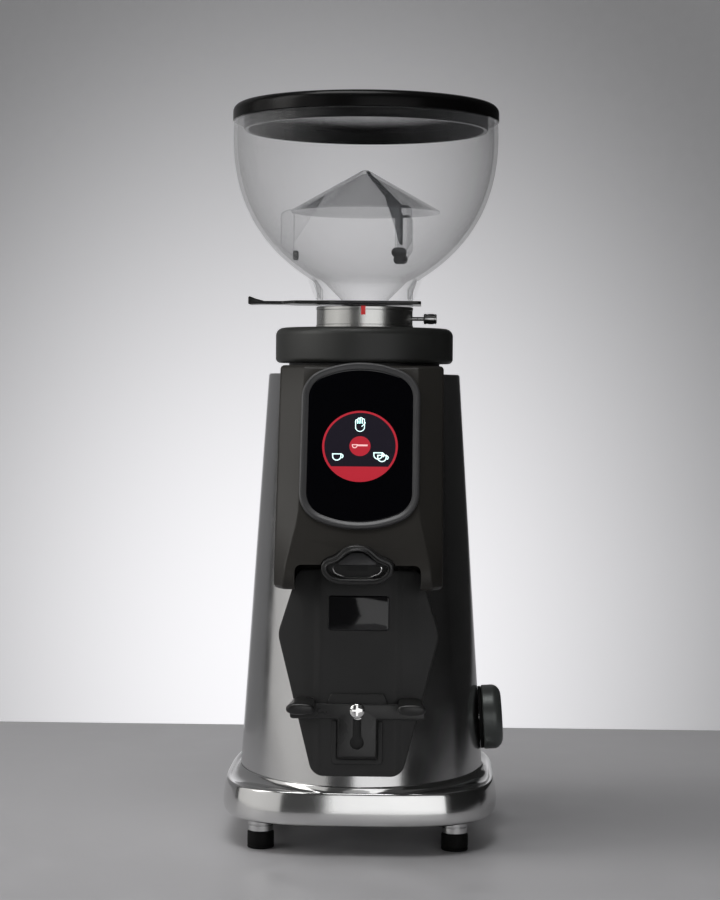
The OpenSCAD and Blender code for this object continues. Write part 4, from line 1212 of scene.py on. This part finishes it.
@dataclass
class Studio:
    """The table, the backdrop, the soft lights and the camera, all in metres."""

    eye: Corner = (0.040, -1.3987, 0.284)
    aim: Corner = (-0.0023, 0.0, 0.2424)
    roll: float = 0.45
    lens: float = 87.5
    table_back: float = 0.416

    def sheet(self, name: str, corners: Sequence[Corner], colour: Colour, roughness: float,
              glow: float = 0.0,
              spread: float = 0.05) -> bpy.types.Object:
        """Makes one flat sheet of the stage with its own finish."""
        mesh = bpy.data.meshes.new(name)
        bm = bmesh.new()
        bm.faces.new([bm.verts.new(c) for c in corners])
        bm.to_mesh(mesh)
        bm.free()
        obj = bpy.data.objects.new(name, mesh)
        bpy.context.scene.collection.objects.link(obj)
        finish = Finish(name + "_finish", colour, 0.0, roughness, 0.08, spread, Grain.MOULDED, 60.0,
                        0.02, glow=glow)
        mesh.materials.append(finish.build())
        return obj

    def card(self, name: str, start: Point, end: Point, height: float, colour: Colour, glow: float) -> None:
        """Stands a card between two places on the table, which only shows in reflections."""
        corners = [(*start, 0.01), (*end, 0.01), (*end, height), (*start, height)]
        self.sheet(name, corners, colour, 0.9, glow)

    def light(self, name: str, place: Corner, target: Corner, size: Point, power: float,
              colour: Colour) -> None:
        """Adds a soft rectangular light that shines at a target."""
        data = bpy.data.lights.new(name, "AREA")
        data.shape, data.size, data.size_y = "RECTANGLE", size[0], size[1]
        data.energy, data.color = power, colour
        lamp = bpy.data.objects.new(name, data)
        lamp.location = place
        lamp.rotation_euler = (Vector(target) - Vector(place)).to_track_quat("-Z", "Y").to_euler()
        bpy.context.scene.collection.objects.link(lamp)

    def backdrop(self) -> None:
        """Makes the wall behind with a painted pool of light: it glows brightest low down behind the object.
        """
        wall = self.sheet("backdrop", [(-6, 3.5, -2.5), (6, 3.5, -2.5), (6, 3.5, 5), (-6, 3.5, 5)],
                          (0.75, 0.75, 0.76), 0.9, 0.0, 0.04)
        material = wall.data.materials[0]
        nodes, links = material.node_tree.nodes, material.node_tree.links
        shader = nodes["Principled BSDF"]
        where = nodes.new("ShaderNodeTexCoord")
        centre = nodes.new("ShaderNodeMapping")
        centre.vector_type = "POINT"
        centre.inputs["Location"].default_value = (0.21, 0.0, 0.25)
        centre.inputs["Scale"].default_value = (0.95, 0.0, 0.75)
        ball = nodes.new("ShaderNodeVectorMath")
        ball.operation = "LENGTH"
        fall = nodes.new("ShaderNodeMapRange")
        fall.interpolation_type = "SMOOTHSTEP"
        fall.inputs["From Min"].default_value = 0.05
        fall.inputs["From Max"].default_value = 1.35
        fall.inputs["To Min"].default_value = 0.96
        fall.inputs["To Max"].default_value = 0.12
        links.new(where.outputs["Object"], centre.inputs["Vector"])
        links.new(centre.outputs["Vector"], ball.inputs[0])
        links.new(ball.outputs["Value"], fall.inputs["Value"])
        # Painted pool of light: the emission falls off with distance from a spot low down behind the object.
        links.new(fall.outputs["Result"], shader.inputs["Emission Strength"])
        shader.inputs["Emission Color"].default_value = (0.93, 0.925, 0.95, 1)

    def camera(self) -> None:
        """Places the camera as the object was seen."""
        data = bpy.data.cameras.new("camera")
        data.lens, data.sensor_width = self.lens, 36
        data.clip_end = 50
        cam = bpy.data.objects.new("camera", data)
        look = (Vector(self.aim) - Vector(self.eye)).to_track_quat("-Z", "Y").to_matrix().to_4x4()
        turn = Matrix.Rotation(math.radians(self.roll), 4, "Z")
        cam.matrix_world = Matrix.Translation(self.eye) @ look @ turn
        bpy.context.scene.collection.objects.link(cam)
        bpy.context.scene.camera = cam

    def build(self) -> None:
        """Sets up the camera, the stage and the lights."""
        self.camera()
        edge = self.table_back
        self.sheet("table", [(-2.2, -3.0, 0), (2.2, -3.0, 0), (2.2, edge, 0), (-2.2, edge, 0)],
                   (0.52, 0.515, 0.53), 0.42, 0.0, 0.10)
        self.backdrop()
        self.card("white_card", (-0.24, -2.4), (2.0, -2.0), 0.9, (0.93, 0.93, 0.93), 1.0)
        self.card("grey_card", (-1.05, -1.6), (-1.35, 0.45), 1.2, (0.93, 0.92, 0.90), 0.34)
        self.card("dark_card", (0.42, 0.1), (0.80, 3.2), 1.6, (0.012, 0.012, 0.012), 0.0)
        self.card("dark_side", (1.5, -1.2), (0.95, 1.4), 1.6, (0.012, 0.012, 0.012), 0.0)
        self.light("left_box", (-1.15, -0.35, 0.75), (0, 0, 0.25), (0.5, 1.3), 5.5, (1.0, 0.985, 0.96))
        self.light("top_box", (-0.2, -0.3, 1.7), (0, 0, 0.3), (1.0, 0.7), 12, (1.0, 1.0, 1.0))
        world = bpy.data.worlds.new("room")
        world.use_nodes = True
        world.node_tree.nodes["Background"].inputs["Color"].default_value = (0.06, 0.06, 0.06, 1)
        world.node_tree.nodes["Background"].inputs["Strength"].default_value = 1.0
        bpy.context.scene.world = world
        bpy.context.scene.view_settings.view_transform = "Standard"


def main() -> None:
    """Builds the stage and every sub-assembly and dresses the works."""
    logging.basicConfig(level=logging.INFO, format="%(name)s: %(message)s")
    Studio().build()
    shell = Shell()
    screen, spout = Screen(), Spout()
    shell.build()
    Base(shell).build()
    Hood(shell).build(screen, spout)
    screen.build()
    spout.build()
    Rest().build()
    Knob(shell).build()
    GrindRing().build()
    Hopper().build()
    dress_works()


if __name__ == "__main__":
    main()
